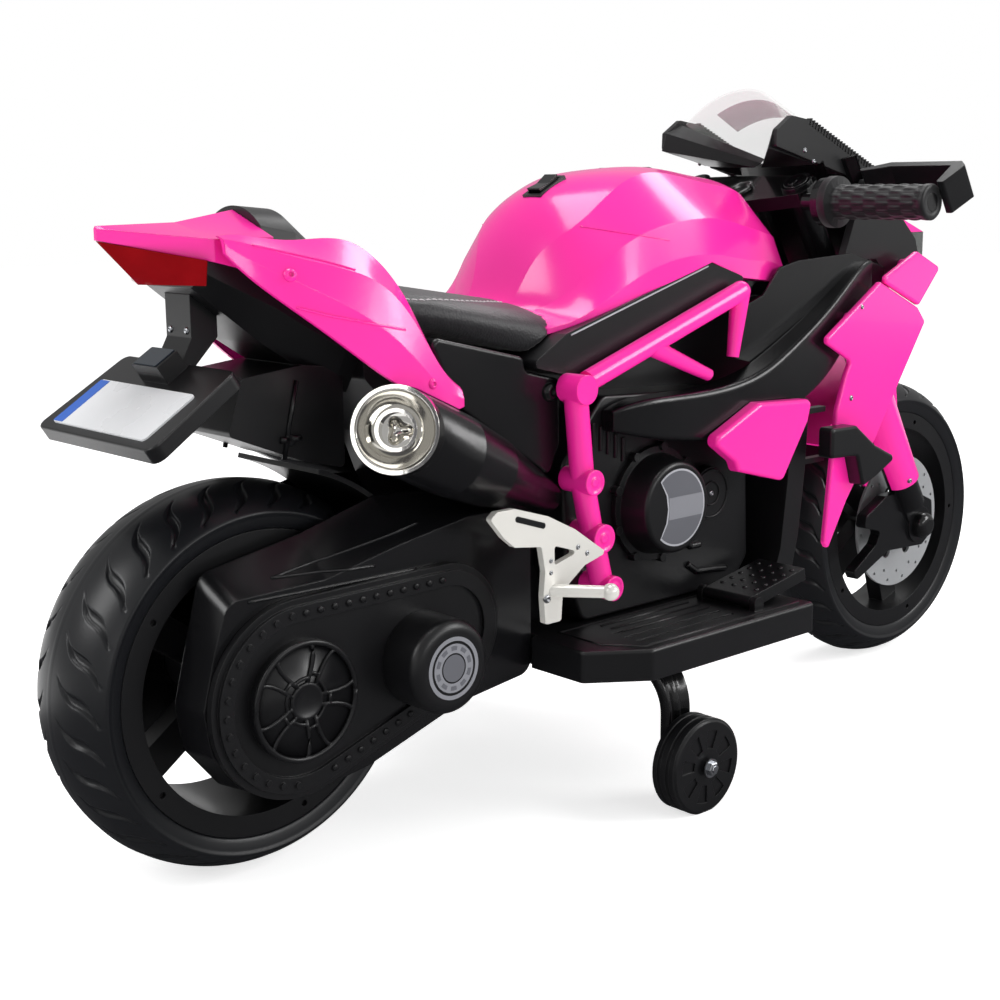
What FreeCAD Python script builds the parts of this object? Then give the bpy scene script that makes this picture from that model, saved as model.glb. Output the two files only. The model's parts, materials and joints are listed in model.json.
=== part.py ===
"""Kids' electric motorbike: moulded covers on a two-half chassis, with a raked fork and stabiliser wheels.

Frame: millimetres, +X forward, +Y to the rider's left, +Z up.
The origin is on the floor, half way between the two axles.
"""
import FreeCAD
import Part
import math
import os

Vector = FreeCAD.Vector

# Overall layout
wheel_radius = 150.0
wheelbase = 830.0
wall = 4.0                     # moulded wall
seat_gap = 0.3                 # face to face clearance between fitted covers
running_gap = 0.05             # radial clearance of a shaft in its bore
swing_gap = 1.0                # clearance beside a part that turns
overrun = 5.0                  # length by which a cut passes the face it opens

# Wheels
rear_tyre_half = 50.0
rear_shoulder_radius = 131.0
front_tyre_half = 37.0
front_shoulder_radius = 132.0
bead_radius = 118.0
bead_setback = 5.0             # tyre shoulder to the face of the rim ring
rim_inner_radius = 101.0
spoke_count = 5
spoke_width = 26.0
spoke_half = 9.0
hub_radius = 25.0
axle_radius = 6.0
rim_hole_count = 5
rim_hole_radius = 2.5
rim_hole_depth = 4.0

# Brake discs
disc_radius = 72.0
disc_thickness = 3.0
disc_hole_radius = 1.8
disc_hole_count = 15
disc_window_count = 6
disc_window_radius = 7.0
disc_row_shares = (0.35, 0.75)    # of the ring outside the windows

# Chassis halves
chassis_half = 55.0
chassis_setback = 95.0         # rear axle to the back of the chassis
chassis_length = 515.0
chassis_floor = 118.0
chassis_height = 297.0
chassis_corner = 12.0
chassis_shares = (
    (0.136, 0.0), (0.796, 0.0), (0.903, 0.242), (0.957, 0.714), (1.0, 0.966), (0.903, 0.983),
    (0.311, 0.875), (0.029, 0.990), (0.0, 1.0), (0.0, 0.855), (0.107, 0.673), (0.161, 0.444),
)

# Inside the chassis
battery_length = 151.0
battery_width = 65.0
battery_height = 94.0
battery_setback = 300.0        # rear axle to the back of the battery
control_length = 90.0
control_width = 60.0
control_height = 28.0

# Swingarms, drive and chain cases
swingarm_thickness = 33.0
swingarm_reach = 235.0         # rear axle to the front of the swingarm
case_radius = 81.0
case_crown = 96.0              # axle to the top corner at the back
case_corner = 14.0
swingarm_inner_rise_shares = (1.0, 1.17, 1.37, 1.33)   # of the crown, along the top edge
swingarm_outer_rise_shares = (0.84, 0.86, 1.02, 1.14)
swingarm_top_shares = (0.13, 0.43, 0.72)               # of the reach
swingarm_low_shares = ((1.0, 0.40), (0.68, 0.52), (0.28, 0.90), (0.06, 1.0))
swingarm_back_shares = ((0.58, -0.80), (0.94, -0.36), (1.0, 0.06), (0.86, 0.60))
swingarm_heel_share = 0.70
chain_pitch_radius = 64.0
chain_band = 11.0
chain_band_share = 0.55         # of the band, raised on each side of the pitch line
chain_front_reach = 140.0
chain_front_rise = 24.0
chain_front_radius = 42.0
chain_cover_thickness = 6.0
chain_band_height = 3.0
chain_link_count = 15
chain_pin_radius = 2.6
chain_pin_height = 1.6
sprocket_radius = 45.0
sprocket_height = 6.0
sprocket_hub_radius = 14.0
sprocket_pocket_count = 5
sprocket_pocket_angle = 44.0
sprocket_pocket_inner = 18.0
sprocket_pocket_outer = 38.0
sprocket_pocket_depth = 4.0
sprocket_pocket_corner = 3.5
sprocket_hole = 6.0
sprocket_hole_reach = 33.0
sprocket_wedge_angle = 12.0
sprocket_wedge_inner = 19.0
sprocket_wedge_outer = 26.0
motor_reach = 112.0            # rear axle to the motor's axis
motor_rise = 8.0
motor_cap_radius = 37.0
motor_cap_height = 40.0
motor_cap_round = 9.0
motor_radius = 14.0
motor_length = 34.0
gearbox_depth = 20.0
sleeve_radius = 14.0
mudguard_gap = 12.0
mudguard_thickness = 4.0
mudguard_start = 40.0          # degrees above the horizon, ahead of the axle
mudguard_end = 72.0

# Side trims under the tank
trim_setback = 222.0
trim_length = 264.0
trim_floor = 360.0
trim_height = 87.0
trim_thickness = 48.0
trim_corner = 4.0
trim_shares = ((0.0, 0.16), (0.152, 0.425), (0.814, 1.0), (1.0, 0.816), (0.94, 0.71), (0.22, 0.0))

# Side covers under the seat
cover_setback = 118.0
cover_length = 143.0
cover_floor = 282.0
cover_height = 126.0
cover_thickness = 42.0
cover_corner = 6.0
cover_round = 3.0
cover_shares = ((0.04, 0.975), (0.72, 0.79), (0.74, 0.70), (1.0, 0.625), (1.0, 0.20), (0.91, 0.0), (0.23, 0.54))

# Tank cover
tank_setback = 258.0
tank_front_gap = 37.0          # steering head to the front edge of the tank
tank_base = 392.0
tank_height = 137.0
tank_half = 106.0
tank_wall = 3.5
tank_nose_drop = 26.0          # crest of the rim line to the tank's front lower corner
tank_station_shares = (0.0, 0.055, 0.104, 0.186, 0.30, 0.4625, 0.625, 0.805, 0.951, 1.0)
tank_shoulder_half_shares = (0.22, 0.275, 0.35, 0.54, 0.57, 0.53, 0.51, 0.47, 0.415, 0.36)
tank_knee_half_shares = (0.46, 0.50, 0.63, 0.80, 0.90, 0.945, 0.925, 0.85, 0.735, 0.66)
tank_side_half_shares = (0.80, 0.87, 0.905, 0.935, 0.95, 0.99, 0.98, 0.905, 0.81, 0.79)
tank_rim_half_shares = (0.84, 0.89, 0.92, 0.94, 0.95, 0.97, 0.96, 0.90, 0.81, 0.79)
tank_crest_shares = (0.20, 0.25, 0.50, 0.78, 0.925, 0.985, 1.0, 0.95, 0.875, 0.77)
tank_shoulder_shares = (0.195, 0.235, 0.445, 0.64, 0.815, 0.955, 0.935, 0.875, 0.79, 0.70)
tank_knee_shares = (0.13, 0.155, 0.225, 0.40, 0.57, 0.66, 0.67, 0.60, 0.54, 0.50)
tank_floor_share = 0.25         # of the height, below the base
tank_side_shares = (0.06, 0.09, 0.13, 0.22, 0.34, 0.44, 0.44, 0.39, 0.35, 0.28)

# Direction switch on the tank
switch_station = 3             # tank section behind the switch
switch_blend_share = 0.62      # from that section to the next
switch_tilt = 29.0
switch_length = 34.0
switch_width = 22.0
switch_depth = 16.0
switch_proud = 3.0
switch_rim = 3.0
rocker_gap = 0.6
rocker_pin_radius = 1.5
rocker_proud = 4.0
rocker_foot_share = 0.8         # of the half length, at the foot

# Seat
seat_setback = 82.0
seat_length = 206.0
seat_half = 86.0
seat_thickness = 34.0
seat_station_shares = (0.0, 0.14, 0.38, 0.64, 0.84, 1.0)
seat_half_shares = (0.62, 0.78, 0.92, 1.0, 1.03, 1.0)
seat_thickness_shares = (0.60, 0.76, 0.90, 1.0, 1.08, 1.12)
seat_crown_share = 0.14        # of the thickness, at the middle of the seat
seat_foot_share = 0.93         # of the half width, along the underside
seat_edge_share = 0.84         # of the half width, where the top begins to round over
seat_edge_rise_share = 0.86    # of the thickness
seat_bulge_share = 0.46        # of the thickness, where the side is widest

# Tail
tail_tip_setback = 92.0        # behind the rear axle
tail_tip_height = 488.0
tail_edge = 8.0
tail_drop = 0.254              # fall of the tail's parting plane per unit of length
tail_corner_run = 63.0
tail_front_run = 112.0
tail_half = 52.0
tail_ridge_rise = 11.0
lens_height = 18.0
lens_tip_run = 31.0
lens_half = 58.0
lens_run = 55.0
lens_top_share = 0.95
lens_floor_share = 0.90
underbody_half = 52.0
underbody_rear_depth = 20.0
underbody_mid_depth = 49.0
underbody_front_depth = 56.0
underbody_rear_share = 0.96     # of the half width, behind the tail lens
underbody_low_share = 0.62      # of the half width, along the underside
underbody_belt_share = 0.45     # of the depth, where the side turns inwards
flap_setback = 17.0            # behind the rear axle
flap_length = 103.0
flap_floor = 303.0
flap_height = 82.0
flap_half = 40.0
flap_corner = 4.0
flap_shares = ((0.0, 0.43), (0.126, 0.93), (0.64, 1.0), (1.0, 0.94), (1.0, 0.0), (0.64, 0.11))
pad_station_shares = (0.0, 0.45, 0.8, 1.0)
pad_rise_shares = (1.0, 0.96, 0.72, 0.42)
pad_half_shares = (0.9, 1.0, 0.98, 0.9)
pad_edge_share = 0.86           # of the half width, where the top rounds over
pad_edge_rise_share = 0.72
pad_half = 46.0
pad_rise = 3.0
panel_length = 174.0
panel_wall = 4.0
panel_top = 482.0
panel_height = 132.0
panel_half = 113.0
panel_station_shares = (0.0, 0.195, 0.425, 0.626, 0.741, 0.845, 1.0)
panel_crest_half_shares = (0.505, 0.53, 0.56, 0.585, 0.69, 0.815, 0.955)
panel_crease_half_shares = (0.56, 0.655, 0.78, 0.85, 0.885, 0.93, 0.98)
panel_belt_half_shares = (0.575, 0.70, 0.85, 0.92, 0.955, 0.975, 1.0)
panel_hem_half_shares = (0.585, 0.715, 0.865, 0.94, 0.965, 0.99, 1.0)
panel_crest_shares = (1.0, 0.985, 0.97, 0.94, 0.795, 0.50, 0.12)
panel_crease_shares = (0.985, 0.917, 0.83, 0.73, 0.59, 0.365, 0.10)
panel_belt_shares = (0.955, 0.80, 0.64, 0.47, 0.33, 0.18, 0.055)
panel_hem_shares = (0.91, 0.66, 0.41, 0.205, 0.115, 0.03, 0.01)

# Number plate
bracket_half = 17.0
bracket_setback = 30.0         # behind the rear axle
bracket_length = 22.0
holder_setback = 68.5          # rear axle back to the middle of the plate holder
holder_height = 367.0
holder_width = 166.0
holder_length = 88.0
holder_thickness = 12.0
holder_tilt = 32.6
holder_corner = 8.0
holder_front_share = 0.92       # of the half width, at the front edge
plate_width = 132.0
plate_length = 50.0
plate_thickness = 1.5
lamp_width = 36.0
lamp_length = 20.0
lamp_height = 15.0
lamp_inset = 4.0               # front edge of the holder to the lamp box
plate_shift = 12.0             # by which the plate lies behind the holder's middle
plate_gap = 0.1

# Mufflers
muffler_tip_reach = 74.0       # rear axle to the outlet
muffler_tip_height = 342.0
muffler_tip_half = 118.0
muffler_end_reach = 258.5
muffler_end_height = 262.0
muffler_end_half = 82.0
muffler_radius = 33.0
muffler_station_shares = (0.34, 0.58, 0.80, 1.0)
muffler_radius_shares = (1.0, 0.88, 0.62, 0.46)
tip_length = 20.0
tip_yaw = 40.0
tip_pitch = 12.0
tip_wall = 3.0
tip_nozzle_radius = 16.0
tip_nozzle_wall = 3.0
tip_nozzle_length = 16.0

# Engine cases and covers
engine_setback = 264.0
engine_length = 240.0
engine_floor = 152.0
engine_height = 190.0
engine_thickness = 40.0
engine_corner = 12.0
engine_round = 3.0
engine_shares = (
    (0.02, 0.24), (0.10, 0.0), (0.92, 0.0), (1.0, 0.12), (0.98, 0.72), (0.84, 0.96), (0.20, 1.0), (0.0, 0.72),
)
clutch_reach = 372.0           # rear axle to the middle of the clutch cover
clutch_height = 243.0
clutch_radius = 50.0
clutch_face_radius = 34.0
clutch_depth = 31.0
clutch_round = 8.0
clutch_flange = 5.0
clutch_bolt_count = 9
clutch_bolt_radius = 4.0
clutch_bolt_height = 7.0
pulser_reach = 440.0
pulser_radius = 24.0
pulser_depth = 9.0

# Air ducts
duct_setback = 310.0
duct_length = 360.0
duct_base = 296.0
duct_height = 143.5
duct_inner = 96.0
duct_outer = 127.0
duct_corner_share = 0.17       # of the shorter side of each section
duct_station_shares = (0.0, 0.06, 0.17, 0.36, 0.51, 0.63, 0.75, 0.86, 1.0)
duct_floor_shares = (0.12, 0.08, 0.03, 0.0, 0.05, 0.12, 0.24, 0.44, 0.80)
duct_crest_shares = (0.24, 0.285, 0.30, 0.32, 0.40, 0.53, 0.68, 0.84, 1.0)
duct_inner_shares = (1.0, 1.0, 1.0, 1.0, 1.0, 1.0, 0.99, 0.965, 0.94)
duct_outer_shares = (0.86, 0.94, 0.98, 1.0, 0.99, 0.965, 0.93, 0.89, 0.83)

# Trellis frame covers
rail_offset = 113.0
rail_radius = 9.0
post_radius = 10.0
post_boss_reaches = (262.0, 270.0, 281.0, 293.0)
post_boss_heights = (354.0, 278.0, 230.0, 186.0)
post_boss_radii = (12.0, 10.5, 12.0, 10.5)
post_boss_proud = 4.0
rail_front_reach = 465.0
rail_front_height = 421.0
strut_front_reach = 456.0
strut_front_height = 364.0
strut_rear_share = 0.42        # along the rail
strut_rear_reach = 424.0
strut_rear_height = 351.0
strut_end_radius = 5.5
strut_root_radius = 8.0
rail_lug_radius = 5.5
rail_start_gap = 2.5           # boss of the post to the start of the rail

# Engine guards, stays and side wings
guard_setback = 510.0
guard_length = 52.0
guard_floor = 150.4
guard_height = 168.0
guard_outer = 118.0
guard_corner = 5.0
guard_shares = (
    (0.04, 0.0), (0.55, 0.0), (0.75, 0.24), (0.90, 0.60), (0.98, 1.0), (0.52, 1.0), (0.42, 0.55), (0.26, 0.18),
)
stay_length = 66.0
stay_setback = 520.0
stay_heights = (303.0, 256.0)
stay_thickness = 5.0
stay_depth = 8.0
wing_setback = 400.0
wing_length = 138.0
wing_floor = 251.0
wing_height = 74.0
wing_inner = 128.0
wing_thickness = 12.0
wing_corner = 6.0
wing_round = 4.0
wing_boss_radius = 7.0
wing_boss_gap = 4.0            # between the boss and the round engine cover behind it
wing_boss_reach = pulser_reach + pulser_radius + wing_boss_gap + wing_boss_radius
wing_boss_height = 278.0
wing_shares = ((0.0, 0.63), (0.46, 1.0), (1.0, 0.95), (0.96, 0.68), (0.71, 0.0), (0.26, 0.22), (0.23, 0.34))

# Fairings
fairing_setback = 566.0
fairing_length = 212.0
fairing_floor = 172.0
fairing_height = 274.0
fairing_outer = 130.0
fairing_toe = 18.0             # by which the fairing's front lies nearer the middle
fairing_wall = 5.0
fairing_corner = 4.0
fairing_round = 2.5
fairing_shares = (
    (0.0, 0.725), (0.455, 0.905), (0.80, 0.800), (0.875, 0.745), (0.66, 0.545), (0.45, 0.345), (0.22, 0.155),
    (0.075, 0.0), (0.045, 0.03), (0.12, 0.48), (0.19, 0.605), (0.225, 0.645),
)
upper_fairing_shares = ((0.462, 0.909), (0.78, 1.0), (1.0, 0.935), (0.81, 0.806))
winglet_setback = 560.0
winglet_length = 118.0
winglet_floor = 230.0
winglet_height = 62.0
winglet_thickness = 16.0
winglet_corner = 4.0
winglet_round = 3.0
winglet_shares = (
    (0.0, 1.0), (0.36, 0.97), (0.66, 0.60), (1.0, 0.33), (0.68, 0.10), (0.48, 0.0), (0.38, 0.50), (0.0, 0.55),
)
fairing_peg_radius = 5.0
fairing_peg_station = 7        # section of the duct that the peg rests on
fairing_peg_share = 0.50       # of that section's height
fairing_peg_gap = 0.9          # to the tapering side of the duct
fairing_boss_radius = 8.0
fairing_boss_reach = 735.0
fairing_boss_height = 430.0

# Cowl, screen and nose
cowl_side_setback = 640.0
cowl_side_length = 130.0
cowl_side_ledge_share = 0.275   # of the height, the edge over the duct
cowl_side_height = 105.0
cowl_side_inner = 86.0
cowl_side_thickness = 8.0
cowl_side_corner = 4.0
cowl_side_shares = (
    (0.0, cowl_side_ledge_share), (0.245, 1.0), (0.385, 1.0), (0.91, 0.44), (1.0, 0.12), (0.62, 0.0),
    (0.40, cowl_side_ledge_share),
)
nose_ahead = 98.0              # steering head to the back of the nose
nose_length = 162.0
nose_half = 85.7
nose_wall = 4.0
nose_drop = 49.0               # floor of the dash to the brow over the lamp
nose_lens_height = 31.0
nose_chin_height = 24.0
nose_plan_shares = ((0.0, 1.0), (0.55, 0.96), (0.95, 0.35), (1.0, 0.0))
nose_crown_shares = ((0.0, 0.80), (0.12, 0.72), (0.20, 0.30), (0.22, 0.0))
nose_chin_share = 0.86         # of the plan, at the chin's lower edge
dash_back = 44.0               # behind the steering head
dash_half = 66.0
dash_length = 178.0
dash_rise = 12.0               # above the steering head
dash_side_height = 58.0
dash_side_shares = ((0.0, 0.57), (0.034, 0.86), (0.163, 1.0), (0.87, 0.10), (0.87, 0.0))
dash_rim_thickness = 5.0
dash_rim_corner = 2.0
dash_rim_shares = ((0.03, 0.60), (0.034, 0.86), (0.15, 1.08), (0.30, 1.02), (0.90, 0.22), (0.90, -0.06))
dash_keel_shares = ((0.40, 0.26), (0.42, 0.34), (0.46, 0.40), (1.0, -0.12), (1.0, -0.22))
screen_wall = 2.5
screen_station_shares = (0.0, 0.5, 1.0)
screen_half_shares = (0.92, 0.98, 0.88)
screen_crest_run = 16.0
screen_front_run = 46.0
screen_crest_rise = 32.0
screen_rise_shares = (1.0, 0.66, 0.22)

# Footboards and pedal
board_setback = 230.0
board_length = 257.0
board_top = 150.0
board_thickness = 26.0
board_outer = 187.0
board_chamfer_run = 46.0
board_chamfer_in = 34.0
board_notch_run = 7.0
board_notch_half = 92.0
board_corner = 6.0
board_round = 3.0
board_groove_count = 4
board_groove_width = 3.0
board_groove_depth = 1.5
board_groove_length = 120.0
board_groove_pitch = 14.0
board_groove_start = 55.0      # from the back edge
pedal_setback = 428.0
pedal_length = 74.0
pedal_inner = 112.0
pedal_width = 52.0
pedal_thickness = 11.0
pedal_rise = 13.0
pedal_pin_radius = 3.0
pedal_lug_width = 6.0
pedal_lug_radius = 6.0

# Stabilisers
stabiliser_reach = 331.0
stabiliser_radius = 40.0
stabiliser_outer = 198.0
stabiliser_width = 26.0
stabiliser_rib = 2.0
stabiliser_window_count = 8
stabiliser_window_inner = 16.0
stabiliser_window_outer = 31.0
stabiliser_window_angle = 24.0
stabiliser_window_depth = 8.0
stabiliser_bolt_radius = 4.0
stabiliser_nut_radius = 6.5
arm_thickness = 14.0
arm_width = 22.0
arm_root_shift = 12.0
arm_corner = 8.0
arm_root_shares = (1.0, 1.5)    # of the half width, behind and ahead of the root
arm_waist_shares = (1.4, 0.9)
arm_foot_share = 0.5

# Chrome footrest hangers
hanger_setback = 151.0
hanger_length = 128.0
hanger_floor = 173.0
hanger_height = 98.0
hanger_inner = 128.0
hanger_thickness = 6.0
hanger_corner = 2.5
hanger_shares = (
    (0.0, 0.95), (0.055, 1.0), (0.20, 1.0), (0.47, 0.89), (0.70, 0.74), (0.985, 0.485), (0.79, 0.42),
    (0.655, 0.30), (0.595, 0.22), (0.58, 0.0), (0.445, 0.0), (0.43, 0.24), (0.445, 0.44), (0.415, 0.65),
    (0.195, 0.69), (0.11, 0.78),
)
hanger_window_shares = ((0.525, 0.636), (0.735, 0.545), (0.525, 0.475))
hanger_window_corner = 2.0
hanger_boss_radius = 6.0
hanger_boss_reach = 205.0
hanger_boss_height = 243.0
peg_reach = 216.0
peg_height = 194.0
peg_length = 48.0
peg_radius = 5.0
peg_knob_radius = 7.0
peg_yaw = 50.0

# Steering head, fork and handlebar
head_setback = 602.0
head_height = 500.0
steering_limit = 24.0          # degrees each way
fork_offset = 10.0
fork_half = 62.0
stem_radius = 10.0
stem_length = 128.0
head_tube_radius = 20.0
gusset_half = 14.0
gusset_length = 75.0
gusset_height = 40.0
yoke_thickness = 14.0
yoke_corner = 10.0
yoke_depth = 34.0
fork_tube_radius = 13.0
fork_slider_radius = 16.0
fork_slider_share = 0.50       # of the leg's length
fork_cap_radius = 15.0
fork_cap_height = 4.0
dropout_radius = 20.0
dropout_inner = 47.0
dropout_thickness = 19.0
dropout_bridge_width = 28.0
dropout_bridge_height = 41.0
axle_cap_radius = 14.0
axle_cap_length = 12.0
axle_cap_round = 8.4
caliper_reach = 96.0
caliper_thickness = 12.0
caliper_corner = 4.0
caliper_shares = (
    (0.26, 0.24), (-0.15, 0.42), (-0.62, 0.40), (-0.98, 0.22), (-1.0, 0.10), (-0.70, 0.02), (-0.78, -0.12),
    (-1.18, -0.36), (-1.12, -0.46), (-0.55, -0.22), (0.10, -0.25), (0.30, -0.12),
)
fender_gap = 28.0
fender_thickness = 4.0
fender_half = 45.5
fender_start = 99.0
fender_end = 146.0
fender_skirt_drop = 96.0
guard_cover_radius = 22.0
guard_cover_length_share = 0.34
guard_cover_end_radius = 19.0
bar_radius = 8.0
bar_drop = 2.0
bar_half = 216.0
bar_setback = 15.0             # behind the fork tubes
stem_boss = 22.0
grip_radius = 16.0
grip_length = 104.0
grip_flange_radius = 20.0
grip_flange = 5.0
housing_radius = 22.0
housing_width = 12.0
hand_guard_reach = 46.0
hand_guard_height = 32.0
hand_guard_thickness = 7.0
hand_guard_inner = 122.0
hand_guard_end = 7.0
hand_guard_round = 2.0
hand_guard_drop = 3.0
hand_guard_start = 12.0         # ahead of the bar axis, where its end plate meets the grip
hand_guard_bend = 28.0         # inner end to the bend
hand_guard_hook = 11.0         # by which the inner end curls back
hand_guard_hook_depth = 3.0

# Places that follow from the sizes above
rear_x = -wheelbase / 2
front_x = wheelbase / 2
axle_z = wheel_radius
touch = 0.01                   # tolerance for finding an edge on a face
tank_length = head_setback - tank_front_gap - tank_setback
dash_setback = head_setback - dash_back
dash_side_floor = head_height + dash_rise
nose_setback = head_setback + nose_ahead
nose_crown_height = dash_side_floor + dash_keel_shares[-1][1] * dash_side_height - seat_gap * 2
nose_brow_height = dash_side_floor - nose_drop
nose_lens_floor = nose_brow_height - nose_lens_height
nose_chin_floor = nose_lens_floor - nose_chin_height
cowl_side_floor = duct_base + duct_height + seat_gap - cowl_side_ledge_share * cowl_side_height
straight_corner = math.radians(89.9)
sides = (-1, 1)
across = Vector(0, 1, 0)
up = Vector(0, 0, 1)
origin = Vector(0, 0, 0)


def spread(shares, start, length, base, height):
    """Turn share pairs into points of a box that starts at (start, base)."""
    return [(start + u * length, base + v * height) for u, v in shares]


def rounded_wire(points, radius, lift):
    """Closed wire through 2-D points with rounded corners; lift turns a 2-D point into a 3-D one."""
    count = len(points)
    corners = []
    for index in range(count):
        here = Vector(points[index][0], points[index][1], 0)
        back = Vector(points[index - 1][0], points[index - 1][1], 0) - here
        ahead = Vector(points[(index + 1) % count][0], points[(index + 1) % count][1], 0) - here
        half = min(back.getAngle(ahead) / 2, straight_corner)
        trim = min(radius / math.tan(half), back.Length * 0.45, ahead.Length * 0.45)
        arc_radius = trim * math.tan(half)
        back.normalize()
        ahead.normalize()
        middle = back + ahead
        if middle.Length > 0:
            middle.normalize()
        bulge = arc_radius / math.sin(half) - arc_radius
        corners.append((here + back * trim, here + middle * bulge, here + ahead * trim))
    edges = []
    for index in range(count):
        start, middle, end = [lift(p.x, p.y) for p in corners[index]]
        follow = lift(corners[(index + 1) % count][0].x, corners[(index + 1) % count][0].y)
        edges.append(Part.Arc(start, middle, end).toShape())
        edges.append(Part.makeLine(end, follow))
    return Part.Wire(edges)


def side_wire(points, radius, level):
    """Rounded wire in the plane y = level."""
    return rounded_wire(points, radius, lambda u, v: Vector(u, level, v))


def side_prism(points, radius, start, end):
    """Rounded outline in the XZ plane, extruded from y = start to y = end."""
    return Part.Face(side_wire(points, radius, start)).extrude(across * (end - start))


def plan_prism(points, radius, start, end):
    """Rounded outline in the XY plane, extruded from z = start to z = end."""
    wire = rounded_wire(points, radius, lambda u, v: Vector(u, v, start))
    return Part.Face(wire).extrude(up * (end - start))


def softened(solid, level, radius):
    """Round the edges that lie in the plane y = level."""
    edges = []
    for edge in solid.Edges:
        box = edge.BoundBox
        if abs(box.YMin - level) < touch and abs(box.YMax - level) < touch:
            edges.append(edge)
    return solid.makeFillet(radius, edges)


def softened_top(solid, level, radius):
    """Round the edges that lie in the plane z = level."""
    edges = []
    for edge in solid.Edges:
        box = edge.BoundBox
        if abs(box.ZMin - level) < touch and abs(box.ZMax - level) < touch:
            edges.append(edge)
    return solid.makeFillet(radius, edges)


def pocketed(solid, points, radius, start, end, skin):
    """Hollow a side prism from y = start to y = end, leaving a skin round its outline."""
    wire = side_wire(points, radius, start).makeOffset2D(-skin)
    return solid.cut(Part.Face(wire).extrude(across * (end - start)))


def polygon(points):
    """Closed straight wire through 3-D points."""
    return Part.makePolygon(list(points) + [points[0]])


def loft(wires, ruled):
    """Solid loft through closed wires."""
    return Part.makeLoft(wires, True, ruled)


def turned(points, centre):
    """Solid of revolution about the Y line through centre; points are (radius, y)."""
    face = Part.Face(polygon([Vector(r, y, 0) for r, y in points]))
    solid = face.revolve(origin, across, 360)
    solid.translate(centre)
    return solid


def rod(start, end, radius):
    """Round bar between two points."""
    run = end - start
    return Part.makeCylinder(radius, run.Length, start, run)


def taper(start, end, radius, end_radius):
    """Tapered round bar between two points."""
    run = end - start
    return Part.makeCone(radius, end_radius, run.Length, start, run)


def fused(shapes):
    """Join overlapping shapes into one clean solid."""
    return shapes[0].multiFuse(shapes[1:]).removeSplitter()


def mirrored(shape):
    """Mirror a shape to the other side of the bike."""
    return shape.mirror(origin, across)


def pair(make):
    """Right and left copies of a piece that make(side) builds."""
    return Part.makeCompound([make(side) for side in sides])


def seat_plane(x):
    """Height of the sloping plane that the seat rests on."""
    back_x = rear_x + chassis_setback
    points = spread(chassis_shares[6:8], back_x, chassis_length, chassis_floor, chassis_height)
    (front, low), (back, high) = points
    return high + (x - back) * (low - high) / (front - back)


def tail_plane(x):
    """Height of the parting plane under the tail cowl."""
    return tail_tip_height - tail_edge - tail_drop * (x - rear_x + tail_tip_setback)


# Steering geometry: the fork legs run parallel to the steering axis
head_x = rear_x + head_setback
fork_run = math.hypot(front_x - head_x, head_height - axle_z)
rake = math.atan2(front_x - head_x, head_height - axle_z) - math.asin(fork_offset / fork_run)
leg_length = math.sqrt(fork_run ** 2 - fork_offset ** 2)
lower_yoke = -(stem_length - yoke_thickness / 2)


def steered(shape):
    """Move a shape from the steering frame (z along the axis, origin at the top yoke) to the part frame."""
    shape.rotate(origin, across, -math.degrees(rake))
    shape.translate(Vector(head_x, 0, head_height))
    return shape


def steering_room():
    """Space that the yokes and fork caps sweep as they turn, with a gap all round."""
    limit = math.radians(steering_limit)
    tip = fork_half + fork_tube_radius + wall
    reach = math.hypot(fork_offset + fork_cap_radius, tip) + swing_gap
    low = -stem_length - swing_gap
    high = yoke_thickness / 2 + fork_cap_height + swing_gap
    back = tip * math.sin(limit) + (fork_cap_radius - fork_offset) * math.cos(limit) + swing_gap
    drum = Part.makeCylinder(reach, high - low, Vector(0, 0, low), up)
    keep = Part.makeBox(back + reach * 2, reach * 2, high - low, Vector(-back, -reach, low))
    return steered(drum.common(keep))


# Wheels
def tyre(half, shoulder_radius, centre):
    ring_half = half - bead_setback
    low = Vector(shoulder_radius, -half, 0)
    crown = Vector(wheel_radius, 0, 0)
    high = Vector(shoulder_radius, half, 0)
    edges = [Part.Arc(low, crown, high).toShape()]
    inner = [high, Vector(bead_radius, ring_half, 0), Vector(bead_radius, -ring_half, 0), low]
    for start, end in zip(inner, inner[1:]):
        edges.append(Part.makeLine(start, end))
    solid = Part.Face(Part.Wire(edges)).revolve(origin, across, 360)
    solid.translate(centre)
    return solid


def rim(half, hub_half, centre):
    ring_half = half - bead_setback
    outer = bead_radius - seat_gap
    ring = turned((
        (rim_inner_radius, -ring_half), (outer, -ring_half), (outer, ring_half), (rim_inner_radius, ring_half),
    ), origin)
    bodies = [ring, Part.makeCylinder(hub_radius, hub_half * 2, Vector(0, -hub_half, 0), across)]
    spoke_length = (rim_inner_radius + outer) / 2
    for index in range(spoke_count):
        corner = Vector(0, -spoke_half, -spoke_width / 2)
        spoke = Part.makeBox(spoke_length, spoke_half * 2, spoke_width, corner)
        spoke.rotate(origin, across, index * 360 / spoke_count)
        bodies.append(spoke)
    solid = fused(bodies)
    holes = [Part.makeCylinder(axle_radius + running_gap, hub_half * 4, Vector(0, -hub_half * 2, 0), across)]
    hole_ring = (rim_inner_radius + outer) / 2
    for side in sides:
        for index in range(rim_hole_count):
            angle = 2 * math.pi * index / rim_hole_count
            spot = Vector(hole_ring * math.cos(angle), side * ring_half, hole_ring * math.sin(angle))
            depth = across * side * rim_hole_depth
            holes.append(rod(spot - depth, spot + depth, rim_hole_radius))
    solid = solid.cut(Part.makeCompound(holes))
    solid.translate(centre)
    return solid


def rear_rim():
    hub_half = chassis_half - swing_gap
    solid = rim(rear_tyre_half, hub_half, origin)
    reach = chassis_half + swingarm_thickness - gearbox_depth + wall
    sleeve = Part.makeCylinder(sleeve_radius, reach - hub_half, Vector(0, -reach, 0), across)
    bore = Part.makeCylinder(axle_radius + running_gap, reach, Vector(0, -reach, 0), across)
    solid = fused([solid, sleeve.cut(bore)])
    solid.translate(Vector(rear_x, 0, axle_z))
    return solid


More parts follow.
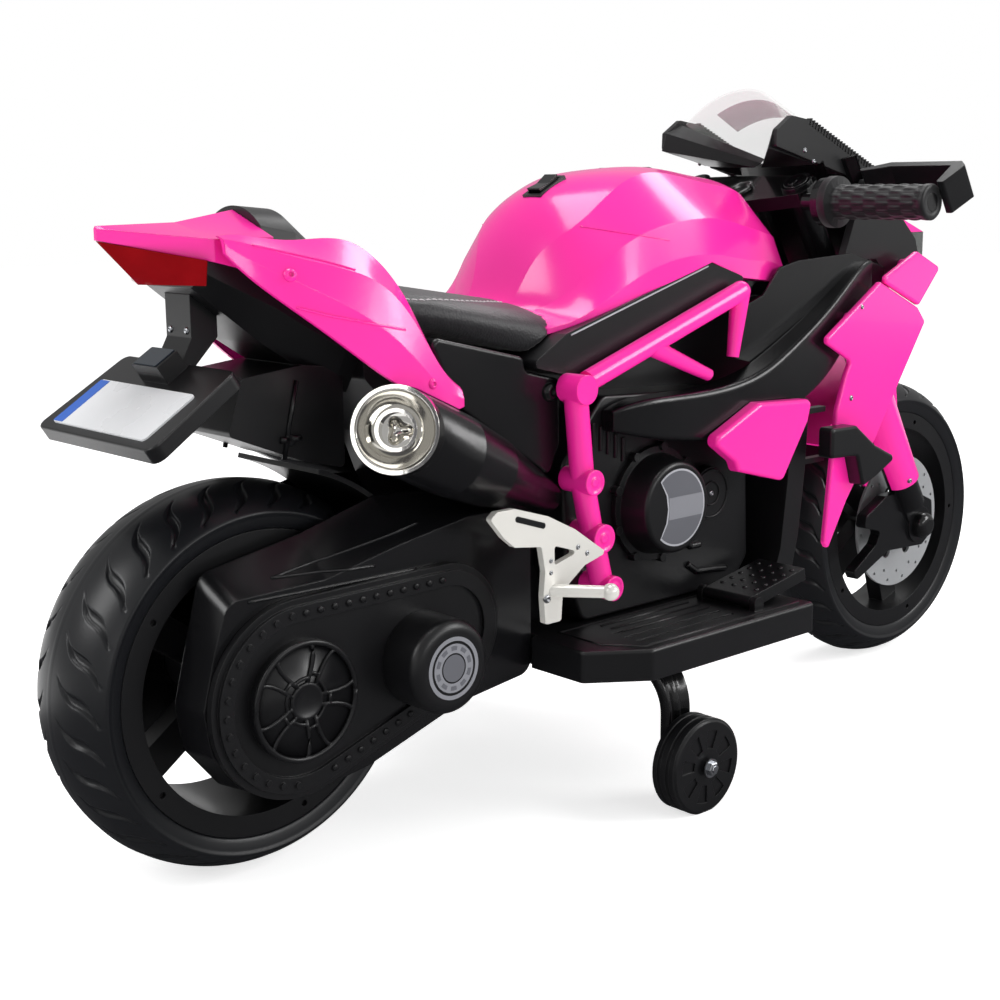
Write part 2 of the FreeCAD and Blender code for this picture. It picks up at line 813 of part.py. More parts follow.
def brake_disc(side):
    inner = hub_radius + seat_gap
    start = side * (front_tyre_half - disc_thickness)
    base = Vector(0, start, 0)
    solid = Part.makeCylinder(disc_radius, disc_thickness, base, across * side)
    cuts = [Part.makeCylinder(inner, disc_thickness, base, across * side)]
    ring = (disc_radius + inner) / 2
    span = disc_radius - ring
    for index in range(disc_window_count):
        angle = 2 * math.pi * index / disc_window_count
        spot = Vector((inner + span / 2) * math.cos(angle), start, (inner + span / 2) * math.sin(angle))
        cuts.append(Part.makeCylinder(disc_window_radius, disc_thickness, spot, across * side))
    for row in disc_row_shares:
        for index in range(disc_hole_count):
            angle = 2 * math.pi * (index + row) / disc_hole_count
            radius = ring + span * row
            spot = Vector(radius * math.cos(angle), start, radius * math.sin(angle))
            cuts.append(Part.makeCylinder(disc_hole_radius, disc_thickness, spot, across * side))
    solid = solid.cut(Part.makeCompound(cuts))
    solid.translate(Vector(front_x, 0, axle_z))
    return solid


# Chassis and what it holds
def chassis_points():
    return spread(chassis_shares, rear_x + chassis_setback, chassis_length, chassis_floor, chassis_height)


def chassis_block(side):
    return side_prism(chassis_points(), chassis_corner, 0, side * chassis_half)


def chassis_shell(side):
    solid = chassis_block(side)
    return pocketed(solid, chassis_points(), chassis_corner, 0, side * (chassis_half - wall), wall)


def battery():
    corner = Vector(rear_x + battery_setback, -battery_width / 2, chassis_floor + wall)
    return Part.makeBox(battery_length, battery_width, battery_height, corner)


def control_box():
    start = rear_x + battery_setback + (battery_length - control_length) / 2
    corner = Vector(start, -control_width / 2, chassis_floor + wall + battery_height)
    return Part.makeBox(control_length, control_width, control_height, corner)


def steering_head():
    top = -(yoke_thickness / 2 + swing_gap)
    bottom = lower_yoke + yoke_thickness / 2 + swing_gap
    tube = Part.makeCylinder(head_tube_radius, top - bottom, Vector(0, 0, bottom), up)
    bore = Part.makeCylinder(stem_radius + running_gap, top - bottom, Vector(0, 0, bottom), up)
    tube = steered(tube)
    bore = steered(bore)
    gusset = Part.makeBox(
        gusset_length, gusset_half * 2, gusset_height, Vector(-gusset_length, -gusset_half, bottom),
    )
    gusset = steered(gusset)
    for side in sides:
        gusset = gusset.cut(chassis_block(side))
    return fused([tube, gusset]).cut(bore)


# Swingarms and drive
def swingarm_outline(rises, grow):
    reach = swingarm_reach
    radius = case_radius + grow
    tops = [axle_z + case_crown * rise for rise in rises]
    points = [(rear_x - radius * swingarm_heel_share, tops[0])]
    for along, top in zip(swingarm_top_shares, tops[1:]):
        points.append((rear_x + reach * along, top))
    points.append((rear_x + reach, tops[-1]))
    for along, drop in swingarm_low_shares:
        points.append((rear_x + reach * along, axle_z - radius * drop))
    for along, rise in swingarm_back_shares:
        points.append((rear_x - radius * along, axle_z + radius * rise))
    return points


def chain_front():
    return Vector(rear_x + chain_front_reach, 0, axle_z + chain_front_rise)


def belt_wire(first, first_radius, second, second_radius, level):
    """Closed outline of a belt round two discs in the plane y = level."""
    run = second - first
    slope = math.atan2(run.z, run.x)
    lean = math.acos((first_radius - second_radius) / run.Length)

    def spot(centre, radius, angle):
        return Vector(centre.x + radius * math.cos(angle), level, centre.z + radius * math.sin(angle))

    high_a = spot(first, first_radius, slope + lean)
    high_b = spot(second, second_radius, slope + lean)
    low_a = spot(first, first_radius, slope - lean)
    low_b = spot(second, second_radius, slope - lean)
    back = spot(first, first_radius, slope + math.pi)
    front = spot(second, second_radius, slope)
    return Part.Wire([
        Part.makeLine(high_a, high_b), Part.Arc(high_b, front, low_b).toShape(),
        Part.makeLine(low_b, low_a), Part.Arc(low_a, back, high_a).toShape(),
    ])


def belt_prism(grow, start, end):
    """Belt-shaped block round the two sprockets, with both radii changed by grow."""
    centre = Vector(rear_x, 0, axle_z)
    wire = belt_wire(centre, chain_pitch_radius + grow, chain_front(), chain_front_radius + grow, start)
    return Part.Face(wire).extrude(across * (end - start))


def swingarm(side):
    inner_points = swingarm_outline(swingarm_inner_rise_shares, 0)
    outer_points = swingarm_outline(swingarm_outer_rise_shares, -wall)
    inner = side_wire(inner_points, case_corner, side * (chassis_half + seat_gap))
    outer = side_wire(outer_points, case_corner, side * (chassis_half + swingarm_thickness))
    solid = loft([inner, outer], True)
    start = side * (chassis_half + swingarm_thickness - gearbox_depth)
    pocket = belt_prism(-chain_band, start, side * (chassis_half + swingarm_thickness + overrun))
    solid = solid.cut(pocket)
    hole = sleeve_radius + swing_gap
    if side > 0:
        hole = axle_radius + seat_gap
    centre = Vector(rear_x, 0, axle_z)
    solid = solid.cut(rod(centre, centre + across * side * chassis_half * 2, hole))
    return solid.cut(muffler_block(side, seat_gap * 2))


def chain_cover(side):
    face = chassis_half + swingarm_thickness + seat_gap
    plate = belt_prism(chain_band, side * face, side * (face + chain_cover_thickness))
    top = face + chain_cover_thickness
    grow = chain_band * chain_band_share
    band = belt_prism(grow, side * top, side * (top + chain_band_height))
    band = band.cut(belt_prism(-grow, side * top, side * (top + chain_band_height)))
    bodies = [plate, band]
    start = top + chain_band_height
    pins = []
    for index in range(chain_link_count):
        angle = math.pi / 2 + math.pi * (index * 2 + 1) / chain_link_count / 2
        run = Vector(math.cos(angle), 0, math.sin(angle))
        spot = Vector(rear_x, side * start, axle_z) + run * chain_pitch_radius
        rise = across * side * chain_pin_height
        pins.append(rod(spot - rise, spot + rise, chain_pin_radius))
    solid = fused(bodies + pins)
    hole = rod(Vector(rear_x, 0, axle_z), Vector(rear_x, side * top, axle_z), axle_radius + seat_gap)
    axis = motor_axis()
    port = rod(axis, axis + across * side * top, motor_radius + swing_gap)
    room_start = axis + across * side * top
    room = rod(room_start, room_start + across * side * chain_band_height * 2, motor_cap_radius + seat_gap)
    return solid.cut(hole).cut(port).cut(room)


def ring_window(side, base, depth, inner, outer, angle):
    """Sector cut of a ring, from y = base inwards by depth, beginning on the X axis."""
    start, end = side * (base - depth), side * (base + overrun)
    face = Part.Face(polygon([
        Vector(inner, start, 0), Vector(outer, start, 0), Vector(outer, end, 0), Vector(inner, end, 0),
    ]))
    solid = face.revolve(origin, across, angle)
    posts = [edge for edge in solid.Edges if edge.BoundBox.YLength > depth]
    return solid.makeFillet(min(sprocket_pocket_corner, (outer - inner) / 4), posts)


def sprocket_cover(side):
    base = chassis_half + swingarm_thickness + chain_cover_thickness + seat_gap * 2
    top = base + sprocket_height
    centre = Vector(0, side * base, 0)
    disc = Part.makeCylinder(sprocket_radius, sprocket_height, centre, across * side)
    hub = Part.makeCylinder(sprocket_hub_radius, sprocket_height + chain_pin_height, centre, across * side)
    solid = fused([disc, hub])
    pitch = 360 / sprocket_pocket_count
    cuts = []
    for index in range(sprocket_pocket_count):
        window = ring_window(
            side, top, sprocket_pocket_depth, sprocket_pocket_inner, sprocket_pocket_outer, sprocket_pocket_angle,
        )
        window.rotate(origin, across, index * pitch)
        wedge = ring_window(
            side, top, sprocket_pocket_depth, sprocket_wedge_inner, sprocket_wedge_outer, sprocket_wedge_angle,
        )
        spoke = sprocket_pocket_angle + (pitch - sprocket_pocket_angle) / 2
        wedge.rotate(origin, across, index * pitch + spoke - sprocket_wedge_angle / 2)
        half = sprocket_hole / 2
        start = min(side * top, side * (top - sprocket_pocket_depth))
        hole = Part.makeBox(
            sprocket_hole, sprocket_pocket_depth, sprocket_hole, Vector(sprocket_hole_reach - half, start, -half),
        )
        hole.rotate(origin, across, index * pitch + spoke)
        cuts += [window, wedge, hole]
    solid = solid.cut(Part.makeCompound(cuts))
    solid.translate(Vector(rear_x, 0, axle_z))
    room = rod(motor_axis(), motor_axis() + across * side * chassis_half * 4, motor_cap_radius + seat_gap)
    start = Vector(rear_x, side * base, axle_z)
    pocket = rod(start, start + across * side * (sprocket_height - swing_gap), axle_radius + wall)
    return solid.cut(room).cut(pocket)


def motor_axis():
    return Vector(rear_x + motor_reach, 0, axle_z + motor_rise)


def motor_cap(side):
    base = chassis_half + swingarm_thickness + chain_cover_thickness + seat_gap * 2
    top = base + motor_cap_height
    start = motor_axis() + across * side * base
    solid = Part.makeCylinder(motor_cap_radius, motor_cap_height, start, across * side)
    solid = softened(solid, side * top, motor_cap_round)
    hollow = Part.makeCylinder(motor_cap_radius - wall, motor_cap_height - motor_cap_round, start, across * side)
    return solid.cut(hollow)


def gearbox():
    depth = chassis_half + swingarm_thickness - gearbox_depth
    start = -(depth + seat_gap)
    end = -(chassis_half + swingarm_thickness)
    solid = belt_prism(-chain_band - seat_gap, start, end)
    centre = Vector(rear_x, 0, axle_z)
    solid = solid.cut(rod(centre, centre - across * chassis_half * 2, axle_radius + seat_gap))
    return solid.cut(rod(centre, centre - across * (depth + wall + swing_gap), sleeve_radius + swing_gap))


def drive_motor():
    start = motor_axis() - across * (chassis_half + swingarm_thickness + seat_gap)
    return rod(start, start - across * motor_length, motor_radius)


def rear_axle():
    reach = chassis_half + swingarm_thickness + chain_cover_thickness
    centre = Vector(rear_x, 0, axle_z)
    bar = rod(centre - across * reach, centre + across * reach, axle_radius)
    nuts = []
    for side in sides:
        start = centre + across * side * (reach + seat_gap * 2)
        nuts.append(rod(centre + across * side * reach, start + across * side * wall, axle_radius))
    return fused([bar] + nuts)


def mudguard():
    low = wheel_radius + mudguard_gap
    high = low + mudguard_thickness
    half = chassis_half - seat_gap
    corners = ((low, -half), (high, -half), (high, half), (low, half))
    face = Part.Face(polygon([Vector(r, y, 0) for r, y in corners]))
    face.rotate(origin, across, -mudguard_start)
    solid = face.revolve(origin, across, -(mudguard_end - mudguard_start))
    solid.translate(Vector(rear_x, 0, axle_z))
    return solid


# Side covers and tank
def trim_points():
    return spread(trim_shares, rear_x + trim_setback, trim_length, trim_floor, trim_height)


def side_trim(side):
    start = side * (chassis_half + seat_gap)
    return side_prism(trim_points(), trim_corner, start, side * (chassis_half + trim_thickness))


def seat_cover(side):
    points = spread(cover_shares, rear_x + cover_setback, cover_length, cover_floor, cover_height)
    start = side * (chassis_half + seat_gap)
    end = side * (chassis_half + cover_thickness)
    solid = softened(side_prism(points, cover_corner, start, end), end, cover_round)
    solid = pocketed(solid, points, cover_corner, start, end - side * wall, wall)
    return solid.cut(muffler_block(side, seat_gap * 2))


def tank_stations(inset):
    """Sections of the tank from back to front, drawn in by inset."""
    rows = zip(
        tank_station_shares, tank_shoulder_half_shares, tank_knee_half_shares, tank_side_half_shares,
        tank_rim_half_shares, tank_crest_shares, tank_shoulder_shares, tank_knee_shares, tank_side_shares,
    )
    wires = []
    for along, shoulder_half, knee_half, side_half, rim_half, crest, shoulder, knee, side in rows:
        x = rear_x + tank_setback + inset + along * (tank_length - inset * 2)
        halves = [share * tank_half - inset for share in (shoulder_half, knee_half, side_half, rim_half)]
        heights = [tank_base + share * tank_height - inset for share in (shoulder, knee, side)]
        floor = tank_base - tank_height * tank_floor_share
        heights.append(floor)
        right = [Vector(x, -half, z) for half, z in zip(halves, heights)]
        left = [Vector(x, half, z) for half, z in zip(halves, heights)]
        top = Vector(x, 0, tank_base + crest * tank_height - inset)
        edges = [Part.Arc(left[0], top, right[0]).toShape()]
        chain = right + left[::-1]
        for start, end in zip(chain, chain[1:]):
            edges.append(Part.makeLine(start, end))
        wires.append(Part.Wire(edges))
    return wires


def tank_underside():
    """Block below the line on which the tank's rim rests."""
    points = trim_points()
    (back, low), (peak, high), (front, dip) = points[1:4]
    slope = (high - low) / (peak - back)
    start = rear_x + tank_setback - tank_wall * 4
    end = rear_x + tank_setback + tank_length + tank_wall * 4
    line = [(start, low - (back - start) * slope), (peak, high), (front, dip), (end, high - tank_nose_drop)]
    floor = tank_base - tank_height
    corners = line + [(end, floor), (start, floor)]
    face = Part.Face(polygon([Vector(x, -tank_half * 2, z) for x, z in corners]))
    return face.extrude(across * tank_half * 4)


def switch_frame(shape):
    """Move a shape from the switch's own frame to the tank."""
    shape.rotate(origin, across, -switch_tilt)
    shape.translate(switch_centre())
    return shape


def switch_centre():
    here, ahead = switch_station, switch_station + 1
    blend = switch_blend_share
    along = tank_station_shares[here] * (1 - blend) + tank_station_shares[ahead] * blend
    crest = tank_crest_shares[here] * (1 - blend) + tank_crest_shares[ahead] * blend
    return Vector(rear_x + tank_setback + along * tank_length, 0, tank_base + crest * tank_height)


def tank_cover():
    shell = loft(tank_stations(0), False).cut(loft(tank_stations(tank_wall), False))
    shell = shell.cut(tank_underside())
    gap = seat_gap
    corner = Vector(-switch_length / 2 - gap, -switch_width / 2 - gap, -switch_depth * 2)
    hole = Part.makeBox(switch_length + gap * 2, switch_width + gap * 2, switch_depth * 4, corner)
    return shell.cut(switch_frame(hole)).cut(steering_room())


def switch_bezel():
    corner = Vector(-switch_length / 2, -switch_width / 2, -switch_depth + switch_proud)
    body = Part.makeBox(switch_length, switch_width, switch_depth, corner)
    inset = Vector(switch_rim, switch_rim, switch_rim)
    length, width = switch_length - switch_rim * 2, switch_width - switch_rim * 2
    room = Part.makeBox(length, width, switch_depth, corner + inset)
    pin = rod(Vector(0, -switch_width / 2, 0), Vector(0, switch_width / 2, 0), rocker_pin_radius)
    return switch_frame(fused([body.cut(room), pin]))


def rocker():
    half = switch_length / 2 - switch_rim - rocker_gap * 2
    width = switch_width - switch_rim * 2 - rocker_gap * 2
    rise = switch_proud + rocker_proud
    foot = half * rocker_foot_share
    points = [(-half, rise), (0, rise - rocker_proud / 2), (half, rise), (foot, 0), (0, -switch_rim), (-foot, 0)]
    solid = side_prism(points, rocker_gap, -width / 2, width / 2)
    bore = rod(Vector(0, -switch_width, 0), Vector(0, switch_width, 0), rocker_pin_radius + running_gap)
    return switch_frame(solid.cut(bore))


# Seat and tail
def seat():
    wires = []
    for along, half_share, thick_share in zip(seat_station_shares, seat_half_shares, seat_thickness_shares):
        x = rear_x + seat_setback + along * seat_length
        half = seat_half * half_share
        thick = seat_thickness * thick_share
        base = seat_plane(x) + seat_gap
        foot = half * seat_foot_share
        edge = half * seat_edge_share
        edge_z = base + thick * seat_edge_rise_share
        bulge_z = base + thick * seat_bulge_share
        low_r, low_l = Vector(x, -foot, base), Vector(x, foot, base)
        top_r, top_l = Vector(x, -edge, edge_z), Vector(x, edge, edge_z)
        side_r, side_l = Vector(x, -half, bulge_z), Vector(x, half, bulge_z)
        crown = Vector(x, 0, base + thick * (1 + seat_crown_share))
        wires.append(Part.Wire([
            Part.makeLine(low_l, low_r), Part.Arc(low_r, side_r, top_r).toShape(),
            Part.Arc(top_r, crown, top_l).toShape(), Part.Arc(top_l, side_l, low_l).toShape(),
        ]))
    solid = loft(wires, False)
    bed = side_wire(chassis_points(), chassis_corner, -chassis_half).makeOffset2D(seat_gap)
    solid = solid.cut(Part.Face(bed).extrude(across * chassis_half * 2))
    solid = solid.cut(loft(tank_stations(-seat_gap * 2), False))
    points = trim_points()
    for side in sides:
        wire = side_wire(points, trim_corner, side * chassis_half).makeOffset2D(seat_gap * 2)
        solid = solid.cut(Part.Face(wire).extrude(across * side * (trim_thickness + seat_gap * 2)))
    return solid


def tail_x(run):
    return rear_x - tail_tip_setback + run


def tail_cowl():
    wires = []
    tip_half = tail_edge / 4
    rows = (
        (0, tip_half, tail_edge / 4, tail_tip_height),
        (tail_corner_run, tail_half, tail_ridge_rise, tail_tip_height - tail_edge),
        (tail_front_run, tail_half, tail_ridge_rise + tail_edge, tail_tip_height - tail_edge),
    )
    for run, half, rise, edge in rows:
        x = tail_x(run)
        low = tail_plane(x)
        wires.append(polygon([
            Vector(x, -half, low), Vector(x, -half, edge), Vector(x, 0, edge + rise), Vector(x, half, edge),
            Vector(x, half, low),
        ]))
    return loft(wires, True)


def tail_lens():
    front = tail_x(lens_run)
    top = [tail_x(0), front, front]
    wide, narrow = lens_half * lens_top_share, lens_half * lens_floor_share
    halves = [0, -wide, wide]
    upper = polygon([Vector(x, y, tail_plane(x) - seat_gap) for x, y in zip(top, halves)])
    floor = tail_plane(front) - lens_height
    lower = polygon([
        Vector(tail_x(lens_tip_run), 0, floor), Vector(front, -narrow, floor), Vector(front, narrow, floor),
    ])
    return loft([upper, lower], True)


def underbody_rows():
    rear = tail_x(lens_run) + seat_gap
    middle = tail_x(tail_front_run)
    seat_back = rear_x + seat_setback - seat_gap * 2
    front = rear_x + chassis_setback - seat_gap
    return (
        (rear, underbody_half * underbody_rear_share, tail_plane(rear) - seat_gap, underbody_rear_depth),
        (middle, underbody_half, tail_plane(middle) - seat_gap, underbody_mid_depth),
        (seat_back, underbody_half, seat_plane(seat_back), underbody_front_depth),
        (front, underbody_half, seat_plane(front), underbody_front_depth),
    )


def tail_underbody():
    wires = []
    lids = []
    for x, half, top, depth in underbody_rows():
        low = half * underbody_low_share
        belt = top - depth * underbody_belt_share
        wires.append(polygon([
            Vector(x, -half, top), Vector(x, half, top), Vector(x, half, belt), Vector(x, low, top - depth),
            Vector(x, -low, top - depth), Vector(x, -half, belt),
        ]))
        lids.append(Vector(x, -flap_half * 2, belt))
    points = spread(flap_shares, rear_x - flap_setback, flap_length, flap_floor, flap_height)
    flap = side_prism(points, flap_corner, -flap_half, flap_half)
    body = loft(wires, True)
    roof = [lids[-1] + up * flap_height, lids[0] + up * flap_height]
    lid = Part.Face(polygon(lids + roof)).extrude(across * flap_half * 4)
    return fused([body, flap.cut(lid)])


def tail_pad():
    rows = underbody_rows()
    wires = []
    middle, half, top, depth = rows[1]
    start = middle + seat_gap
    crest = tail_tip_height - tail_edge + tail_ridge_rise + tail_edge + pad_rise
    end, end_half, end_top, depth = rows[2]
    for share, rise, width in zip(pad_station_shares, pad_rise_shares, pad_half_shares):
        x = start + share * (end - start)
        base = top + (x - middle) / (end - middle) * (end_top - top) + seat_gap
        height = (crest - base) * rise
        wide = pad_half * width
        low_r, low_l = Vector(x, -wide, base), Vector(x, wide, base)
        edge, edge_z = wide * pad_edge_share, base + height * pad_edge_rise_share
        top_r, top_l = Vector(x, -edge, edge_z), Vector(x, edge, edge_z)
        wires.append(Part.Wire([
            Part.makeLine(low_l, low_r), Part.makeLine(low_r, top_r),
            Part.Arc(top_r, Vector(x, 0, base + height), top_l).toShape(), Part.makeLine(top_l, low_l),
        ]))
    return loft(wires, True)


def tail_panel(side):
    rows = zip(
        panel_station_shares, panel_crest_half_shares, panel_crease_half_shares, panel_belt_half_shares,
        panel_hem_half_shares, panel_crest_shares, panel_crease_shares, panel_belt_shares, panel_hem_shares,
    )
    wires = []
    floor = panel_top - panel_height
    for row in rows:
        x = tail_x(tail_corner_run) + row[0] * panel_length
        outer = [(panel_half * half, floor + panel_height * z) for half, z in zip(row[1:5], row[5:9])]
        inner = [(half - panel_wall, z) for half, z in outer[::-1]]
        wires.append(polygon([Vector(x, side * half, z) for half, z in outer + inner]))
    solid = loft(wires, False)
    tip, end = muffler_line(side)
    normal = tip_normal(side)
    room = rod(tip - normal * (tip_length + overrun), tip + normal * seat_gap * 2, muffler_radius + seat_gap * 2)
    return solid.cut(room).cut(muffler_block(side, seat_gap * 2))


# Number plate
def holder_frame(shape):
    """Move a shape from the plate holder's own frame to the back of the bike."""
    shape.rotate(origin, across, -holder_tilt)
    shape.translate(Vector(rear_x - holder_setback, 0, holder_height))
    return shape


def plate_holder():
    half = holder_width / 2
    long = holder_length / 2
    front_half = half * holder_front_share
    points = [(-long, -half), (long, -front_half), (long, front_half), (-long, half)]
    tray = plan_prism(points, holder_corner, -holder_thickness, 0)
    tray = softened_top(tray, 0, plate_thickness)
    lamp_corner = Vector(long - lamp_inset - lamp_length, -lamp_width / 2, -wall)
    lamp = Part.makeBox(lamp_length, lamp_width, lamp_height + wall, lamp_corner)
    tray = holder_frame(fused([tray, lamp]))
    start = rear_x - bracket_setback
    end = start + bracket_length
    slope = math.tan(math.radians(holder_tilt))
    edge = rear_x - holder_setback + long * math.cos(math.radians(holder_tilt))
    low = holder_height + (edge - rear_x + holder_setback) * slope - holder_thickness / 2
    foot = edge - holder_thickness
    points = [
        (start, tail_plane(start)), (end, tail_plane(end)), (end, low + holder_thickness * 2), (edge, low),
        (foot, low - holder_thickness), (foot, low), (start, low + holder_thickness * 2),
    ]
    arm = side_prism(points, flap_corner / 2, -bracket_half, bracket_half)
    arm = arm.cut(tail_underbody()).cut(tail_lens()).cut(tail_cowl())
    arm = max(arm.Solids, key=lambda solid: solid.Volume)
    return fused([arm, tray])


def number_plate():
    long = plate_length / 2
    half = plate_width / 2
    back, front = -long - plate_shift, long - plate_shift
    points = [(back, -half), (front, -half), (front, half), (back, half)]
    return holder_frame(plan_prism(points, holder_corner / 2, plate_gap, plate_thickness + plate_gap))


# Mufflers
def muffler_line(side):
    tip = Vector(rear_x + muffler_tip_reach, side * muffler_tip_half, muffler_tip_height)
    end = Vector(rear_x + muffler_end_reach, side * muffler_end_half, muffler_end_height)
    return tip, end


def tip_normal(side):
    yaw = math.radians(tip_yaw)
    pitch = math.radians(tip_pitch)
    return Vector(-math.cos(pitch) * math.cos(yaw), side * math.cos(pitch) * math.sin(yaw), math.sin(pitch))


def muffler_block(side, grow):
    """Outer form of one muffler, swollen by grow."""
    tip, end = muffler_line(side)
    run = end - tip
    along = Vector(run)
    along.normalize()
    normal = tip_normal(side)
    start = tip - normal * (tip_length + seat_gap)
    sections = [(start, -normal, muffler_radius + grow)]
    for share, radius_share in zip(muffler_station_shares, muffler_radius_shares):
        sections.append((tip + run * share, along, muffler_radius * radius_share + grow))
    wires = [Part.Wire([Part.makeCircle(radius, centre, axis)]) for centre, axis, radius in sections]
    return loft(wires, True)


def exhaust_tip(side):
    tip, end = muffler_line(side)
    normal = tip_normal(side)
    start = tip - normal * tip_length
    cup = Part.makeCylinder(muffler_radius, tip_length, start, normal)
    cup = cup.cut(Part.makeCylinder(muffler_radius - tip_wall, tip_length, start + normal * tip_wall, normal))
    nozzle = Part.makeCylinder(tip_nozzle_radius, tip_nozzle_length, start, normal)
    bore = Part.makeCylinder(tip_nozzle_radius - tip_nozzle_wall, tip_length, start + normal * tip_wall, normal)
    nozzle = nozzle.cut(bore)
    return fused([cup, nozzle])


# Engine
def engine_points():
    return spread(engine_shares, rear_x + engine_setback, engine_length, engine_floor, engine_height)


def engine_case(side):
    start = side * (chassis_half + seat_gap)
    end = side * (chassis_half + engine_thickness)
    solid = softened(side_prism(engine_points(), engine_corner, start, end), end, engine_round)
    return pocketed(solid, engine_points(), engine_corner, start, end - side * wall, wall)


def clutch_cover(side):
    base = side * (chassis_half + engine_thickness + seat_gap)
    centre = Vector(rear_x + clutch_reach, base, clutch_height)
    flange = Part.makeCylinder(clutch_radius, clutch_flange, centre, across * side)
    root, face = clutch_radius - clutch_flange, clutch_face_radius + clutch_flange
    drum = Part.makeCone(root, face, clutch_depth, centre, across * side)
    drum = softened(drum, base + side * clutch_depth, clutch_round / 2)
    bodies = [flange, drum]
    for index in range(clutch_bolt_count):
        angle = 2 * math.pi * index / clutch_bolt_count
        spot = centre + Vector(clutch_radius * math.cos(angle), 0, clutch_radius * math.sin(angle))
        bodies.append(Part.makeCylinder(clutch_bolt_radius, clutch_bolt_height, spot, across * side))
    spot = Vector(rear_x + pulser_reach, base, clutch_height)
    bodies.append(Part.makeCylinder(pulser_radius, pulser_depth, spot, across * side))
    return fused(bodies)


def air_duct(side):
    rows = zip(duct_station_shares, duct_floor_shares, duct_crest_shares, duct_inner_shares, duct_outer_shares)
    wires = []
    for along, floor, crest, inner, outer in rows:
        x = rear_x + duct_setback + along * duct_length
        low, high = duct_base + floor * duct_height, duct_base + crest * duct_height
        near, far = duct_inner * inner, duct_outer * outer
        corner = min(high - low, far - near) * duct_corner_share
        points = [(near, low), (far, low), (far, high), (near, high)]
        wires.append(rounded_wire(points, corner, lambda u, v: Vector(x, side * u, v)))
    return loft(wires, False)


# Trellis frame covers
def boss_spot(index, side):
    return Vector(rear_x + post_boss_reaches[index], side * rail_offset, post_boss_heights[index])


def frame_post(side):
    face = chassis_half + engine_thickness + seat_gap
    bodies = []
    count = len(post_boss_reaches)
    for index in range(count):
        spot = boss_spot(index, side)
        inner = Vector(spot.x, side * face, spot.z)
        if index == 0:
            inner.y = side * (chassis_half + trim_thickness + seat_gap)
        outer = spot + across * side * (post_radius + post_boss_proud)
        bodies.append(rod(inner, outer, post_boss_radii[index]))
    for index in range(count - 1):
        bodies.append(rod(boss_spot(index, side), boss_spot(index + 1, side), post_radius))
    return fused(bodies)


def frame_rail(side):
    start = boss_spot(0, side)
    end = Vector(rear_x + rail_front_reach, side * rail_offset, rail_front_height)
    run = end - start
    ahead = Vector(run)
    ahead.normalize()
    begin = start + ahead * (post_boss_radii[0] + rail_start_gap)
    bodies = [rod(begin, end, rail_radius), Part.makeSphere(rail_radius, end)]
    foot = Vector(rear_x + strut_front_reach, side * rail_offset, strut_front_height)
    bodies.append(taper(end, foot, rail_radius, strut_end_radius))
    root = start + run * strut_rear_share
    tip = Vector(rear_x + strut_rear_reach, side * rail_offset, strut_rear_height)
    bodies.append(taper(root, tip, strut_root_radius, strut_end_radius))
    lug = Vector(end.x, side * (chassis_half + trim_thickness + seat_gap), end.z)
    bodies.append(rod(lug, end, rail_lug_radius))
    return fused(bodies)


# Engine guards, wings and fairings
def engine_guard(side):
    points = spread(guard_shares, rear_x + guard_setback, guard_length, guard_floor, guard_height)
    start = side * (chassis_half + seat_gap)
    solid = side_prism(points, guard_corner, start, side * guard_outer)
    bodies = [solid]
    for height in stay_heights:
        level = min(side * guard_outer, side * (guard_outer - stay_depth))
        corner = Vector(rear_x + stay_setback, level, height)
        bodies.append(Part.makeBox(stay_length, stay_depth, stay_thickness, corner))
    return fused(bodies).cut(air_duct(side))


def side_wing(side):
    points = spread(wing_shares, rear_x + wing_setback, wing_length, wing_floor, wing_height)
    start = side * wing_inner
    end = side * (wing_inner + wing_thickness)
    solid = softened(side_prism(points, wing_corner, start, end), end, wing_round)
    spot = Vector(rear_x + wing_boss_reach, side * (chassis_half + engine_thickness + seat_gap), wing_boss_height)
    boss = rod(spot, Vector(spot.x, start + side * wall, spot.z), wing_boss_radius)
    return fused([solid, boss])


def fairing_level(x):
    """Distance of the fairing's outer face from the middle plane."""
    return fairing_outer - fairing_toe * (x - rear_x - fairing_setback) / fairing_length


def fairing_panel(points, corner, side, inner, outer, edge):
    """Panel that follows the toed-in plane of the fairing, from inner to outer beside that plane."""
    def lift(u, v):
        return Vector(u, side * (fairing_level(u) + inner), v)

    solid = Part.Face(rounded_wire(points, corner, lift)).extrude(across * side * (outer - inner))
    edges = []
    for candidate in solid.Edges:
        places = [candidate.valueAt(candidate.FirstParameter), candidate.valueAt(candidate.LastParameter)]
        if all(abs(abs(p.y) - fairing_level(p.x) - outer) < touch for p in places):
            edges.append(candidate)
    return solid.makeFillet(edge, edges)


def fairing(side):
    points = spread(fairing_shares, rear_x + fairing_setback, fairing_length, fairing_floor, fairing_height)
    panel = fairing_panel(points, fairing_corner, side, -fairing_wall, 0, fairing_round)
    station = fairing_peg_station
    x = rear_x + duct_setback + duct_station_shares[station] * duct_length
    low, high = duct_floor_shares[station], duct_crest_shares[station]
    z = duct_base + duct_height * (low + (high - low) * fairing_peg_share)
    start = Vector(x, side * (duct_outer * duct_outer_shares[station] + fairing_peg_gap), z)
    end = Vector(x, side * (fairing_level(x) - fairing_wall / 2), z)
    return fused([panel, rod(start, end, fairing_peg_radius)])


def upper_fairing(side):
    points = spread(upper_fairing_shares, rear_x + fairing_setback, fairing_length, fairing_floor, fairing_height)
    panel = fairing_panel(points, fairing_corner, side, -fairing_wall, 0, fairing_round)
    spot = Vector(rear_x + fairing_boss_reach, 0, fairing_boss_height)
    start = spot + across * side * (cowl_side_inner + cowl_side_thickness + seat_gap)
    end = spot + across * side * (fairing_level(spot.x) - fairing_wall / 2)
    return fused([panel, rod(start, end, fairing_boss_radius)])


